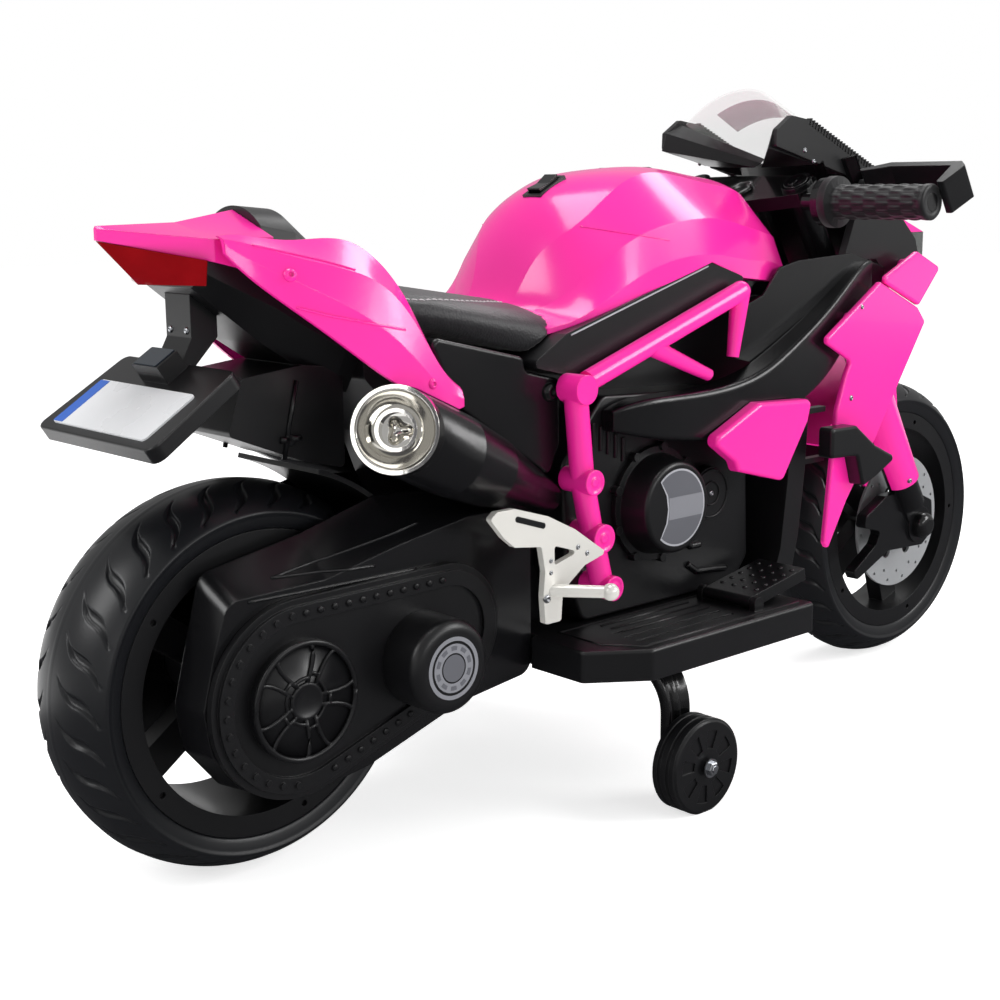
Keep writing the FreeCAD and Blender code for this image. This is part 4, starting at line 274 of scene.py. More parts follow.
# White card, lit by itself.
PALE_CARD = Finish("pale_card", "#FFFFFF", 0.8, 1.4, grain_depth_mm=0, edge_mm=0, glow=1.1)
# Lit white paper of the studio floor.
FLOOR_PAPER = Finish("studio_paper_white", "#F4F4F4", 0.75, 1.4, grain_mm=40.0, grain_depth_mm=0.01, mottle_mm=900,
                     mottle=0.01, edge_mm=0, glow=0.75)


def spot_mm(x: float, y: float, z: float) -> Vector:
    """Point of the part's frame from millimetres."""
    return Vector((x, y, z)) * MM


def steered(x: float, y: float, z: float) -> Vector:
    """Point from millimetres in the steering frame, whose z runs up the steering axis."""
    return HEAD + Matrix.Rotation(-RAKE, 3, "Y") @ spot_mm(x, y, z)


def outward(side: int) -> Vector:
    """Direction away from the middle plane on one side."""
    return Vector((0, side, 0))


def smoothstep(low: float, high: float, value: float) -> float:
    """Ease from 0 at low to 1 at high."""
    share = min(1.0, max(0.0, (value - low) / (high - low)))
    return share * share * (3 - 2 * share)


def full_turn(steps: int) -> list[float]:
    """Even angles once round, from zero."""
    return [math.tau * step / steps for step in range(steps)]


def arc(radius: float, start: float, end: float, steps: int = 40) -> list[tuple[float, float]]:
    """Points on an arc about the origin, angles in degrees."""
    angles = [math.radians(start + (end - start) * step / steps) for step in range(steps + 1)]
    return [(radius * math.cos(angle), radius * math.sin(angle)) for angle in angles]


def stretch(points: Pairs, count: int) -> list[list[float]]:
    """Spread points evenly along a bent line.

    Args:
        points: Corners of the line.
        count: Number of points wanted.

    Returns:
        The points, ends included.
    """
    lengths = [math.dist(a, b) for a, b in zip(points, points[1:])]
    made = []
    for index in range(count):
        left = sum(lengths) * index / (count - 1)
        leg = 0
        while leg < len(lengths) - 1 and left > lengths[leg]:
            left -= lengths[leg]
            leg += 1
        share = left / lengths[leg]
        made.append([a + (b - a) * share for a, b in zip(points[leg], points[leg + 1])])
    return made


def grid_faces(rows: int, columns: int, closed: bool = True, looped: bool = False) -> list[tuple[int, ...]]:
    """Quads of a grid of points, row by row.

    Args:
        rows: Number of rows.
        columns: Points in each row.
        closed: True if each row runs round to its start.
        looped: True if the last row joins the first.

    Returns:
        Four point numbers for each face.
    """
    made = []
    for row in range(rows if looped else rows - 1):
        start, after = row * columns, (row + 1) % rows * columns
        for column in range(columns if closed else columns - 1):
            beside = (column + 1) % columns
            made.append((start + column, start + beside, after + beside, after + column))
    return made


@dataclass
class Parcel:
    """Points in metres and faces of several small forms that become one piece."""

    verts: list[Vector] = field(default_factory=list)
    faces: list[tuple[int, ...]] = field(default_factory=list)

    def add(self, verts: Iterable[Vector], faces: Iterable[tuple[int, ...]]) -> None:
        """Take in one more form.

        Args:
            verts: Its points.
            faces: Its faces, counted from its own first point.
        """
        start = len(self.verts)
        self.verts.extend(verts)
        self.faces.extend(tuple(i + start for i in face) for face in faces)

    def tube(self, points: Sequence[Vector], columns: int) -> None:
        """Add rows of points as a closed form with flat ends.

        Args:
            points: The points, row by row.
            columns: Points in each row.
        """
        count = len(points)
        faces = grid_faces(count // columns, columns)
        faces += [tuple(range(columns))[::-1], tuple(range(count - columns, count))]
        self.add(points, faces)

    def turned(self, profile: Pairs, spot: Vector, axis: Vector, steps: int,
               shape: Callable[[float], float] | None = None) -> None:
        """Add a turned form.

        Args:
            profile: Radius and height in millimetres, from the foot to the top.
            spot: Foot of the form's axis.
            axis: Direction of the form's axis.
            steps: Points round the axis.
            shape: Factor on the radius for an angle, or None for a round form.
        """
        turn = axis.to_track_quat("Z", "Y").to_matrix()
        points = []
        for radius, height in profile:
            for angle in full_turn(steps):
                reach = radius * MM * (shape(angle) if shape else 1.0)
                points.append(spot + turn @ Vector((reach * math.cos(angle), reach * math.sin(angle), height * MM)))
        self.tube(points, steps)

    def bar(self, path: Sequence[Vector], radius: float, steps: int = 8) -> None:
        """Add a round bar along a path.

        Args:
            path: Points of its middle line.
            radius: Radius of the bar in millimetres.
            steps: Points round the bar.
        """
        points, reach = [], radius * MM
        for index, spot in enumerate(path):
            ahead = path[min(index + 1, len(path) - 1)] - path[max(index - 1, 0)]
            turn = ahead.to_track_quat("Z", "Y").to_matrix()
            points += [spot + turn @ Vector((reach * math.cos(a), reach * math.sin(a), 0)) for a in full_turn(steps)]
        self.tube(points, steps)

    def slab(self, outline: Pairs, place: Callable[[float, float, float], Vector], height: float) -> None:
        """Add a flat form with a given outline.

        Args:
            outline: Its corners in the plane of a face.
            place: Turns plane coordinates and height into a point.
            height: Height of its top over the face.
        """
        self.tube([place(u, v, level) for level in (0.0, height) for u, v in outline], len(outline))

    def piece(self, name: str, finish: Finish, body: Body = Body.CHASSIS, smooth: bool = True) -> bpy.types.Object:
        """Make the piece from everything taken in so far.

        Args:
            name: Name of the piece.
            finish: Material of the piece.
            body: Body that carries it.
            smooth: True for smooth shading.

        Returns:
            The new object.
        """
        mesh = bpy.data.meshes.new(name)
        mesh.from_pydata([tuple(v) for v in self.verts], [], self.faces)
        mesh.validate()
        form = bmesh.new()
        form.from_mesh(mesh)
        bmesh.ops.recalc_face_normals(form, faces=form.faces)
        form.to_mesh(mesh)
        form.free()
        mesh.polygons.foreach_set("use_smooth", [smooth] * len(mesh.polygons))
        mesh.materials.append(finish.material())
        made = bpy.data.objects.new(name, mesh)
        bpy.context.scene.collection.objects.link(made)
        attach(made, body.value)
        LOG.info("%s on %s", name, body.value)
        return made


@dataclass
class Surface:
    """Faces of a mesh, to seat small pieces on."""

    mesh: bpy.types.Mesh
    tree: BVHTree = field(init=False)

    def __post_init__(self) -> None:
        """Sort the faces for rays."""
        faces = [tuple(p.vertices) for p in self.mesh.polygons]
        self.tree = BVHTree.FromPolygons([v.co for v in self.mesh.vertices], faces)

    def hit(self, start: Vector, run: Vector) -> tuple[Vector, Vector]:
        """Find where a line first meets the mesh.

        Args:
            start: Start of the line.
            run: Its direction.

        Returns:
            The point met and the outward normal there.
        """
        spot, normal, _, _ = self.tree.ray_cast(start, run)
        if spot is None:
            raise ValueError(f"nothing of {self.mesh.name} lies on the line from {tuple(start)}")
        return spot, -normal if normal.dot(run) > 0 else normal

    def beside(self, x: float, z: float, side: int) -> tuple[Vector, Vector]:
        """Point and normal of the outer face on one side, at x and z in millimetres."""
        return self.hit(spot_mm(x, side * 300, z), outward(-side))


def cover(node: str) -> Surface:
    """Faces of a CAD node."""
    return Surface(frame["nodes"][node].data)


@dataclass
class Face:
    """Flat face on one side of the bike that carries small forms, sizes in millimetres."""

    x: float
    z: float
    level: float
    side: int

    def place(self, ahead: float = 0.0, up: float = 0.0, out: float = 0.0) -> Vector:
        """Point so far ahead, up and out from the middle of the face."""
        return spot_mm(self.x + ahead, self.side * (self.level + out), self.z + up)

    def hoop(self, parcel: Parcel, radius: float, out: float, thick: float, start: float = 0.0,
             end: float = 360.0) -> None:
        """Add a bar bent round the middle of the face.

        Args:
            parcel: Takes the bar.
            radius: Radius of the bend.
            out: Height of its middle line over the face.
            thick: Radius of the bar.
            start: First angle in degrees.
            end: Last angle in degrees.
        """
        steps = max(8, int((end - start) / 5))
        parcel.bar([self.place(u, v, out) for u, v in arc(radius, start, end, steps)], thick)


@dataclass
class Tyre:
    """Moulded tyre with curved grooves on both sides of a thin parting ridge, sizes in millimetres.

    Places across the tread are shares, from 0 at the crown to 1 at a shoulder.
    """

    name: str
    body: Body
    centre: float
    half: float
    shoulder: float
    crown: float = 150.0
    bead: float = 118.0
    bead_setback: float = 5.0
    axle_height: float = 150.0
    groove_count: int = 30
    groove_sweep: float = 13.0
    groove_depth: float = 3.2
    groove_half: float = 0.14
    groove_starts: tuple[float, float] = (0.16, 0.48)
    groove_ends: tuple[float, float] = (0.70, 0.93)
    bend_centre: float = 0.52
    bend_half: float = 0.34
    ridge: float = 0.35
    ridge_half: float = 0.035
    rows: int = 52
    wall: Pairs = ((0.12, 0.02), (0.22, 0.26), (0.34, 0.30), (0.70, 0.62), (0.90, 0.80), (1.0, 1.0))
    half_pitch: tuple[float, ...] = (0.0, 0.04, 0.08, 0.11, 0.135, 0.16, 0.22, 0.28, 0.34, 0.365, 0.39, 0.42, 0.46)

    def dip(self, along: float, across: float) -> float:
        """Depth of the tread below its round form.

        Args:
            along: Place within one pitch, from 0 to 1.
            across: From -1 at the left shoulder over 0 at the crown to 1 at the right.

        Returns:
            The depth, negative on the parting ridge.
        """
        reach = abs(across)
        centre = 0.0 if across > 0 else 0.5
        away = abs((along - centre + 0.5) % 1.0 - 0.5)
        swell = smoothstep(*self.groove_starts, reach) * (1 - smoothstep(*self.groove_ends, reach))
        wide = self.groove_half * (0.25 + 0.75 * swell)
        cut = max(0.0, 1 - (away / wide) ** 4) * self.groove_depth * min(1.0, swell * 1.8)
        return cut - self.ridge * max(0.0, 1 - (reach / self.ridge_half) ** 2)

    def swept(self, across: float) -> float:
        """Angle by which a groove has swept round the tyre at a place across the tread."""
        share = max(-1.0, min(1.0, (abs(across) - self.bend_centre) / self.bend_half))
        return math.radians(self.groove_sweep) * (0.5 + 0.5 * (0.3 * share + 0.7 * share ** 3))

    def section(self) -> list[tuple[float, float, float]]:
        """Radius, level and tread place of each row, from the left bead to the right one."""
        rise = self.crown - self.shoulder
        bend = (self.half ** 2 + rise ** 2) / (2 * rise)
        limit = math.asin(self.half / bend)
        tread = []
        for row in range(self.rows + 1):
            share = 2 * row / self.rows - 1
            angle = limit * share
            tread.append((self.crown - bend * (1 - math.cos(angle)), -bend * math.sin(angle), share))
        drop, back = self.shoulder - self.bead, self.bead_setback
        right = [(self.shoulder - drop * u, -(self.half - back * v), 1.0) for u, v in self.wall]
        left = [(radius, -level, -1.0) for radius, level, _ in right[::-1]]
        return left + tread + right

    def build(self) -> None:
        """Make the tyre and let it stand for its CAD node."""
        rows = self.section()
        shares = [half + share for half in (0.0, 0.5) for share in self.half_pitch]
        spots = [(count, share) for count in range(self.groove_count) for share in shares]
        verts = []
        for radius, level, across in rows:
            sweep = self.swept(across)
            for count, share in spots:
                angle = (count + share) * math.tau / self.groove_count + sweep
                size = radius - self.dip(share, across)
                verts.append(spot_mm(self.centre + size * math.cos(angle), level,
                                     self.axle_height + size * math.sin(angle)))
        parcel = Parcel()
        parcel.add(verts, grid_faces(len(rows), len(spots), looped=True))
        made = parcel.piece(f"{self.name}_moulded", TYRE_SKIN, self.body)
        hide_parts(self.name)


@dataclass
class Cushion:
    """Seat: vinyl over foam, swollen between a stitched seam on either side, sizes in millimetres."""

    voxel: float = 2.6
    pressure: float = 3.0
    steps: int = 18
    swell_limit: float = 2.2
    held_below: float = 6.0
    free_above: float = 22.0
    seam: Pairs = ((-326.0, 54.0), (-300.0, 63.0), (-268.0, 66.0), (-235.0, 62.0), (-205.0, 54.0), (-178.0, 43.0),
                   (-158.0, 33.0))
    seam_half: float = 3.6
    seam_depth: float = 1.3
    seam_points: int = 60
    top_slope: float = 0.35
    stitch: float = 4.6
    stitch_gap: float = 1.9
    stitch_steps: int = 8
    stitch_bends: int = 4
    thread: float = 0.75

    def swollen(self) -> bpy.types.Object:
        """Copy the CAD cushion, puff it up as cloth round its filling, and keep the result.

        Returns:
            The soft copy, with every modifier applied.
        """
        source = frame["nodes"]["seat"]
        made = bpy.data.objects.new("seat_cushion", source.data.copy())
        made.matrix_world = source.matrix_world.copy()
        scene = bpy.context.scene
        scene.collection.objects.link(made)
        remesh = made.modifiers.new("even", "REMESH")
        remesh.mode, remesh.voxel_size = "VOXEL", self.voxel * MM
        self.apply(made)
        rest = [v.co.copy() for v in made.data.vertices]
        cloth = made.modifiers.new("filling", "CLOTH")
        cloth.settings.use_pressure = True
        cloth.settings.uniform_pressure_force = self.pressure
        cloth.settings.effector_weights.gravity = 0.0
        cloth.point_cache.frame_start, cloth.point_cache.frame_end = 1, self.steps
        for step in range(1, self.steps + 1):
            scene.frame_set(step)
        self.apply(made)
        scene.frame_set(1)
        foot = min(v.z for v in rest)
        low, high = foot + self.held_below * MM, foot + self.free_above * MM
        for vertex, start in zip(made.data.vertices, rest):
            move = vertex.co - start
            limit = self.swell_limit * MM * smoothstep(low, high, start.z)
            if move.length > limit:
                move = move.normalized() * limit
            vertex.co = start + move
        return made

    def apply(self, made: bpy.types.Object) -> None:
        """Replace an object's mesh by what its modifiers make of it."""
        graph = bpy.context.evaluated_depsgraph_get()
        mesh = bpy.data.meshes.new_from_object(made.evaluated_get(graph), depsgraph=graph)
        made.modifiers.clear()
        made.data = mesh

    def line(self, side: int, count: int) -> list[Vector]:
        """Points along one seam, seen from above, at height zero."""
        return [spot_mm(x, side * y, 0) for x, y in stretch(self.seam, count)]

    def build(self) -> None:
        """Make the cushion, its seams and its stitches."""
        made = self.swollen()
        mesh = made.data
        seams = [p for side in SIDES for p in self.line(side, self.seam_points)]
        for vertex, normal in zip(mesh.vertices, [v.normal.copy() for v in mesh.vertices]):
            if normal.z > self.top_slope:
                away = min((vertex.co.x - p.x) ** 2 + (vertex.co.y - p.y) ** 2 for p in seams) ** 0.5 / MM
                vertex.co -= normal * MM * self.seam_depth * max(0.0, 1 - (away / self.seam_half) ** 2)
        mesh.polygons.foreach_set("use_smooth", [True] * len(mesh.polygons))
        mesh.materials.clear()
        mesh.materials.append(SEAT_VINYL.material())
        relax = made.modifiers.new("relax", "SMOOTH")
        relax.factor, relax.iterations = 0.5, 4
        self.apply(made)
        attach(made, Body.CHASSIS.value)
        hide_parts("seat")
        LOG.info("%s on %s", made.name, Body.CHASSIS.value)
        self.stitches(Surface(made.data))

    def stitches(self, top: Surface) -> None:
        """Sew both seams of the finished cushion."""
        parcel = Parcel()
        pitch = self.stitch + self.stitch_gap
        count = int(sum(math.dist(a, b) for a, b in zip(self.seam, self.seam[1:])) / pitch)
        reach = self.stitch_steps * self.stitch / pitch
        for side in SIDES:
            line = self.line(side, count * self.stitch_steps + 1)
            for index in range(count):
                path = []
                for bend in range(self.stitch_bends + 1):
                    share = bend / self.stitch_bends
                    spot, normal = top.hit(line[index * self.stitch_steps + round(reach * share)] + UP, -UP)
                    lift = math.sin(math.pi * share) * self.thread - self.thread * 0.4
                    path.append(spot + normal * lift * MM)
                parcel.bar(path, self.thread, 6)
        parcel.piece("seat_stitches", THREAD)


@dataclass
class Grips:
    """Soft grips with staggered lens-shaped ribs, a collar and an end with a hole, sizes in millimetres."""

    start: float = 108.0
    end: float = 216.0
    bar: float = 8.05
    base: float = 15.0
    rib: float = 1.15
    rib_count: int = 13
    rib_length: float = 13.0
    collar: float = 23.5
    collar_length: float = 9.0
    plain_inner: float = 6.0
    plain_outer: float = 7.0
    rounding: float = 1.0
    axis_x: float = -5.0
    axis_z: float = -2.0
    columns: int = 156

    def radius(self, along: float, angle: float) -> float:
        """Outer radius of the ribbed sleeve.

        Args:
            along: Distance from the inner end.
            angle: Angle round the bar.

        Returns:
            The radius.
        """
        if along < self.collar_length:
            return self.collar
        if along < self.collar_length + self.plain_inner or along > self.end - self.start - self.plain_outer:
            return self.base + self.rib * 0.8
        wave = math.cos(self.rib_count * angle) * math.cos(math.pi * along / self.rib_length)
        return self.base + self.rib * max(0.0, wave) ** 0.6

    def stops(self) -> list[float]:
        """Distances of the rows of points from the inner end, both ends doubled for the walls."""
        edge, length = self.collar_length, self.end - self.start
        ribbed = int(length - edge - self.plain_inner - self.plain_outer) + 1
        return ([0.0, 0.0, 0.6, edge - 0.6, edge - 0.05, edge + 0.05]
                + [edge + self.plain_inner + step for step in range(ribbed)]
                + [length - 5, length - 1.2, length - 0.1, length - 0.1])

    def build(self) -> None:
        """Make both grips as one piece."""
        parcel, stops = Parcel(), self.stops()
        last = len(stops) - 1
        for side in SIDES:
            points = []
            for index, along in enumerate(stops):
                for angle in full_turn(self.columns):
                    size = self.radius(along, angle)
                    if index in (0, last):
                        size = self.bar
                    elif index in (1, last - 1):
                        size -= self.rounding
                    points.append(steered(self.axis_x + size * math.cos(angle), side * (self.start + along),
                                          self.axis_z + size * math.sin(angle)))
            parcel.add(points, grid_faces(len(stops), self.columns, looped=True))
        made = parcel.piece("grips_ribbed", GRIP_PVC, Body.STEERING)
        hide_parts("grips")


@dataclass
class Decals:
    """Plain printed films on the round covers, the plate and the screen, sizes in millimetres."""

    film: float = 0.25
    second_film: float = 0.4
    third_film: float = 0.55
    cap: tuple[float, float, float] = (-303.0, 158.0, 134.6)
    cap_rings: Pairs = ((24.4, 21.2), (19.0, 11.8))
    cap_dash: tuple[float, float] = (17.2, 14.0)
    cap_dashes: int = 10
    dash_start: float = 6.0
    dash_turn: float = 20.0
    cap_disc: float = 10.6
    engine: tuple[float, float, float] = (-43.0, 243.0, 126.3)
    outline: float = 33.5
    outline_limit: float = 132.0
    outline_notch: Pairs = ((-15.0, 12.0), (-13.0, 0.0), (-15.0, -12.0))
    inside: float = 31.8
    inside_limit: float = 131.0
    inside_notch: Pairs = ((-13.2, 12.0), (-11.2, 0.0), (-13.2, -12.0))
    band: Pairs = ((-12.2, -9.5), (30.2, -9.5), (31.6, 0.0), (30.2, 9.5), (-12.2, 9.5), (-11.4, 0.0))
    plate_foot: tuple[float, float, float] = (-483.5, 0.0, 367.0)
    plate_tilt: float = -32.6
    plate_level: float = 1.6
    plate_band: Pairs = ((-36, 52), (12, 52), (12, 65.4), (-36, 65.4))
    screen_rows: int = 14
    screen_columns: int = 24
    ray_start: tuple[float, float] = (186.0, 556.0)
    ray_run: tuple[float, float] = (34.0, -17.0)
    ray_angles: tuple[float, float] = (-60.0, 58.0)
    ray_lean: tuple[float, float] = (0.42, 0.9)

    def motor_caps(self) -> None:
        """Rings, dashes and middle disc on both motor caps."""
        pale, dark = Parcel(), Parcel()
        outer, inner = self.cap_dash
        for side in SIDES:
            place = Face(*self.cap, side).place
            for wide, narrow in self.cap_rings:
                for start in (0, 180):
                    half = arc(wide, start, start + 180, 32) + arc(narrow, start + 180, start, 32)
                    pale.slab(half, place, self.film)
            for index in range(self.cap_dashes):
                start = index * 360 / self.cap_dashes + self.dash_start
                end = start + self.dash_turn
                dark.slab(arc(outer, start, end, 8) + arc(inner, end, start, 8), place, self.second_film)
            dark.slab(arc(self.cap_disc, 0, 352), place, self.film)
        pale.piece("motor_cap_rings", GREY_FILM, smooth=False)
        dark.piece("motor_cap_discs", DARK_FILM, smooth=False)

    def engine_covers(self) -> None:
        """Grey field with a pale outline and a bare band on both round engine covers."""
        line, fill, band = Parcel(), Parcel(), Parcel()
        for side in SIDES:
            place = Face(*self.engine, side).place
            outer = arc(self.outline, -self.outline_limit, self.outline_limit)
            inner = arc(self.inside, -self.inside_limit, self.inside_limit)
            line.slab([*outer, *self.outline_notch], place, self.film)
            fill.slab([*inner, *self.inside_notch], place, self.second_film)
            band.slab(self.band, place, self.third_film)
        line.piece("engine_cover_outlines", PALE_PRINT_AND_HIGHLIGHT, smooth=False)
        fill.piece("engine_cover_fields", DARK_FILM, smooth=False)
        band.piece("engine_cover_bands", GREY_FILM, smooth=False)

    def on_plate(self, up: float, across: float, out: float) -> Vector:
        """Point so far up, to the left and out from the foot of the tilted plate."""
        turn = Matrix.Rotation(math.radians(self.plate_tilt), 3, "Y")
        return spot_mm(*self.plate_foot) + turn @ spot_mm(up, across, self.plate_level + out)

    def plate(self) -> None:
        """Plain blue band at the left end of the bare plate."""
        parcel = Parcel()
        parcel.slab(self.plate_band, self.on_plate, self.film)
        parcel.piece("plate_band", BLUE_FILM, smooth=False)

    def screen(self) -> None:
        """Bare mauve film on the inside of the windscreen, found by rays from the rider's side."""
        sheet, parcel = cover("windscreen"), Parcel()
        (x, z), (ahead, rise), (lean_x, lean_z), (first, last) = (
            self.ray_start, self.ray_run, self.ray_lean, self.ray_angles)
        verts = []
        for row in range(self.screen_rows + 1):
            share = row / self.screen_rows
            for column in range(self.screen_columns + 1):
                angle = math.radians(first + (last - first) * column / self.screen_columns)
                run = Vector((lean_x * math.cos(angle), math.sin(angle), lean_z * math.cos(angle)))
                spot, normal = sheet.hit(spot_mm(x + ahead * share, 0, z + rise * share), run.normalized())
                verts.append(spot + normal * self.film * MM)
        parcel.add(verts, grid_faces(self.screen_rows + 1, self.screen_columns + 1, closed=False))
        made = parcel.piece("screen_film", MAUVE_FILM)
        made.modifiers.new("film", "SOLIDIFY").thickness = self.film * MM * 0.6

    def build(self) -> None:
        """Make all films."""
        self.motor_caps()
        self.engine_covers()
        self.plate()
        self.screen()


@dataclass(frozen=True)
class ScrewRow:
    """Screws on both sides of a node: each one's x, z and radius in millimetres."""

    name: str
    node: str
    places: tuple[tuple[float, float, float], ...]
    finish: Finish = ZINC
    body: Body = Body.CHASSIS


@dataclass
class Screws:
    """Pan-head screws seated on the covers, sizes in millimetres.

    The profile of a head is in shares of its radius and height.
    """

    height_share: float = 0.55
    profile: Pairs = ((1.0, -0.4), (1.0, 0.15), (0.88, 0.55), (0.62, 0.88), (0.40, 1.0), (0.36, 0.45), (0.02, 0.40))
    rows: tuple[ScrewRow, ...] = (
        ScrewRow("dash_screws", "dash_cowl", ((191, 543, 2.6), (205, 533, 2.2))),
        ScrewRow("hanger_bolts", "footrest_hangers", (
            (-170.9, 230.3, 2.2), (-160.7, 223.7, 2.2), (-200.8, 214.1, 2.0), (-200.7, 223.8, 2.0),
            (-205.3, 193.8, 3.6))),
        ScrewRow("panel_screws", "tail_panels", ((-402.4, 454.4, 5.0), (-298.1, 370.7, 4.0)), PINK_ABS),
        ScrewRow("fairing_screws", "side_fairings", ((199.5, 313.5, 2.8), (214, 398, 2.4))),
        ScrewRow("fork_cover_screws", "front_fender", ((372.0, 205.0, 2.8),), body=Body.STEERING),
        ScrewRow("box_screws", "tail_underbody", ((-378.9, 330.1, 2.6),)),
        ScrewRow("cover_bolts", "seat_side_covers", ((-165.6, 351.0, 8.0),), SMOOTH_PP),
        ScrewRow("engine_screws", "engine_covers", ((25.0, 243.0, 3.0),)),
    )
    bracket_half: float = 11.0
    bracket_height: float = 414.0
    bracket_radius: float = 2.8

    def head(self, parcel: Parcel, spot: Vector, axis: Vector, radius: float) -> None:
        """Add one domed head with a socket, sunk slightly into its cover."""
        rise = radius * self.height_share
        parcel.turned([(u * radius, v * rise) for u, v in self.profile], spot, axis, 20)

    def build(self) -> None:
        """Seat every screw, the two of the plate's bracket last."""
        for row in self.rows:
            parcel, surface = Parcel(), cover(row.node)
            for side in SIDES:
                for x, z, radius in row.places:
                    self.head(parcel, *surface.beside(x, z, side), radius)
            parcel.piece(row.name, row.finish, row.body)
        parcel, bracket = Parcel(), cover("plate_holder")
        for side in SIDES:
            start = spot_mm(-600, side * self.bracket_half, self.bracket_height)
            self.head(parcel, *bracket.hit(start, Vector((1, 0, 0))), self.bracket_radius)
        parcel.piece("bracket_screws", ZINC)


@dataclass(frozen=True)
class Ridges:
    """Thin ridges along lines of x and z on both sides of a node, sizes in millimetres."""

    name: str
    node: str
    radius: float
    finish: Finish
    lines: tuple[Pairs, ...]
    count: int = 40
    lift: float = 0.15

    def build(self) -> None:
        """Make the ridges as one piece that follows the node's outer faces."""
        parcel, surface = Parcel(), cover(self.node)
        for side in SIDES:
            for line in self.lines:
                path = []
                for x, z in stretch(line, self.count):
                    spot, normal = surface.beside(x, z, side)
                    path.append(spot + normal * self.radius * MM * self.lift)
                parcel.bar(path, self.radius)
        parcel.piece(self.name, self.finish)


RIDGES = (
    Ridges("panel_creases", "tail_panels", 0.9, PINK_ABS, (
        ((-424, 475.6), (-401, 470), (-377, 464), (-352, 456)),
        ((-400, 431.5), (-378, 425), (-348, 418), (-318, 411.6)))),
    Ridges("swingarm_creases", "swingarms", 1.2, SMOOTH_PP, (
        ((-425, 239), (-372, 246), (-327, 253.5), (-290, 260)),
        ((-425, 239), (-390, 238), (-340, 235.5)),
        ((-452, 228), (-380, 227), (-300, 226.5)))),
    # Pale bar along the top edge of each side trim: a painted highlight.
    Ridges("trim_edge_highlight", "side_trims", 0.8, PALE_PRINT_AND_HIGHLIGHT, (((-148, 395.8), (18, 443.6)),)),
    Ridges("case_ribs", "engine_cases", 2.0, BLACK_PP, tuple(
        ((-115 + 9 * i, 300 - 4 * i), (-115 + 9 * i, 320 - 4 * i)) for i in range(5))),
    Ridges("case_pipes", "engine_cases", 3.4, SMOOTH_PP, (
        ((4, 180), (16, 172), (40, 170), (56, 168)), ((-4, 205), (8, 196), (20, 196)))),
    Ridges("tank_creases", "tank_cover", 0.6, PINK_ABS, (((-96, 480), (-66, 473), (-30, 467)),)),
)


@dataclass
class ChainCovers:
    """Studs and sprocket relief on both chain covers, sizes in millimetres."""

    rear: tuple[float, float] = (-415.0, 150.0)
    front: tuple[float, float] = (-275.0, 174.0)
    radii: tuple[float, float] = (64.0, 42.0)
    cap: tuple[float, float] = (-303.0, 158.0)
    cap_room: float = 42.0
    stud: Pairs = ((2.6, -1.0), (2.6, 1.2), (1.8, 1.7))
    stud_count: int = 11
    stud_level: float = 97.3
    level: float = 100.6
    rim: float = 43.6
    hub: Pairs = ((14.2, -1.0), (14.2, 2.0), (13.2, 2.8), (11.6, 2.8), (11.0, 2.2), (1.0, 2.2))
    spokes: int = 5
    spoke_turn: float = -5.0
    spoke: Pairs = ((13.0, 4.0), (20.0, 4.2), (27.0, 4.8), (34.0, 6.4), (38.5, 8.4), (42.0, 11.6))
    web: Pairs = ((21.0, -4.2), (21.0, 4.2))
    rib_out: float = 1.0
    rib: float = 1.7
    thin_rib: float = 1.5
    rim_out: float = 1.6
    rim_rib: float = 2.2
    floor: Pairs = ((43.6, -1.0), (43.6, 0.5))
    inner_hoop: float = 17.4
    inner_gap: float = 14.0

    def studs(self) -> None:
        """Studs along the straight runs of both covers, clear of the motor caps."""
        parcel = Parcel()
        first, second = Vector(self.rear), Vector(self.front)
        run = second - first
        slope, lean = math.atan2(run.y, run.x), math.acos((self.radii[0] - self.radii[1]) / run.length)
        for side in SIDES:
            for sign in SIDES:
                way = Vector((math.cos(slope + sign * lean), math.sin(slope + sign * lean)))
                start, end = first + way * self.radii[0], second + way * self.radii[1]
                for index in range(self.stud_count):
                    at = start.lerp(end, (index + 0.5) / self.stud_count)
                    if (at - Vector(self.cap)).length > self.cap_room:
                        parcel.turned(self.stud, spot_mm(at.x, side * self.stud_level, at.y), outward(side), 16)
        parcel.piece("chain_studs", BLACK_PP)

    def sprockets(self) -> None:
        """Ribs of both sprocket reliefs, over a plain floor."""
        floor, ribs = Parcel(), Parcel()
        step = 360 / self.spokes
        for side in SIDES:
            face = Face(*self.rear, self.level, side)
            floor.turned(self.floor, face.place(), outward(side), 72)
            ribs.turned(self.hub, face.place(), outward(side), 48)
            face.hoop(ribs, self.rim, self.rim_out, self.rim_rib)
            for index in range(self.spokes):
                turn = step * index + self.spoke_turn
                cos, sin = math.cos(math.radians(turn)), math.sin(math.radians(turn))
                edges = [([(r, sign * w) for r, w in self.spoke], self.rib) for sign in SIDES]
                for line, thick in (*edges, (self.web, self.thin_rib)):
                    ribs.bar([face.place(r * cos - w * sin, r * sin + w * cos, self.rib_out) for r, w in line], thick)
                face.hoop(ribs, self.inner_hoop, self.rib_out, self.thin_rib, turn + self.inner_gap,
                          turn + step - self.inner_gap)
        floor.piece("sprocket_floors", BLACK_PP)
        ribs.piece("sprocket_ribs", BLACK_PP)

    def build(self) -> None:
        """Make studs and sprockets."""
        self.studs()
        self.sprockets()


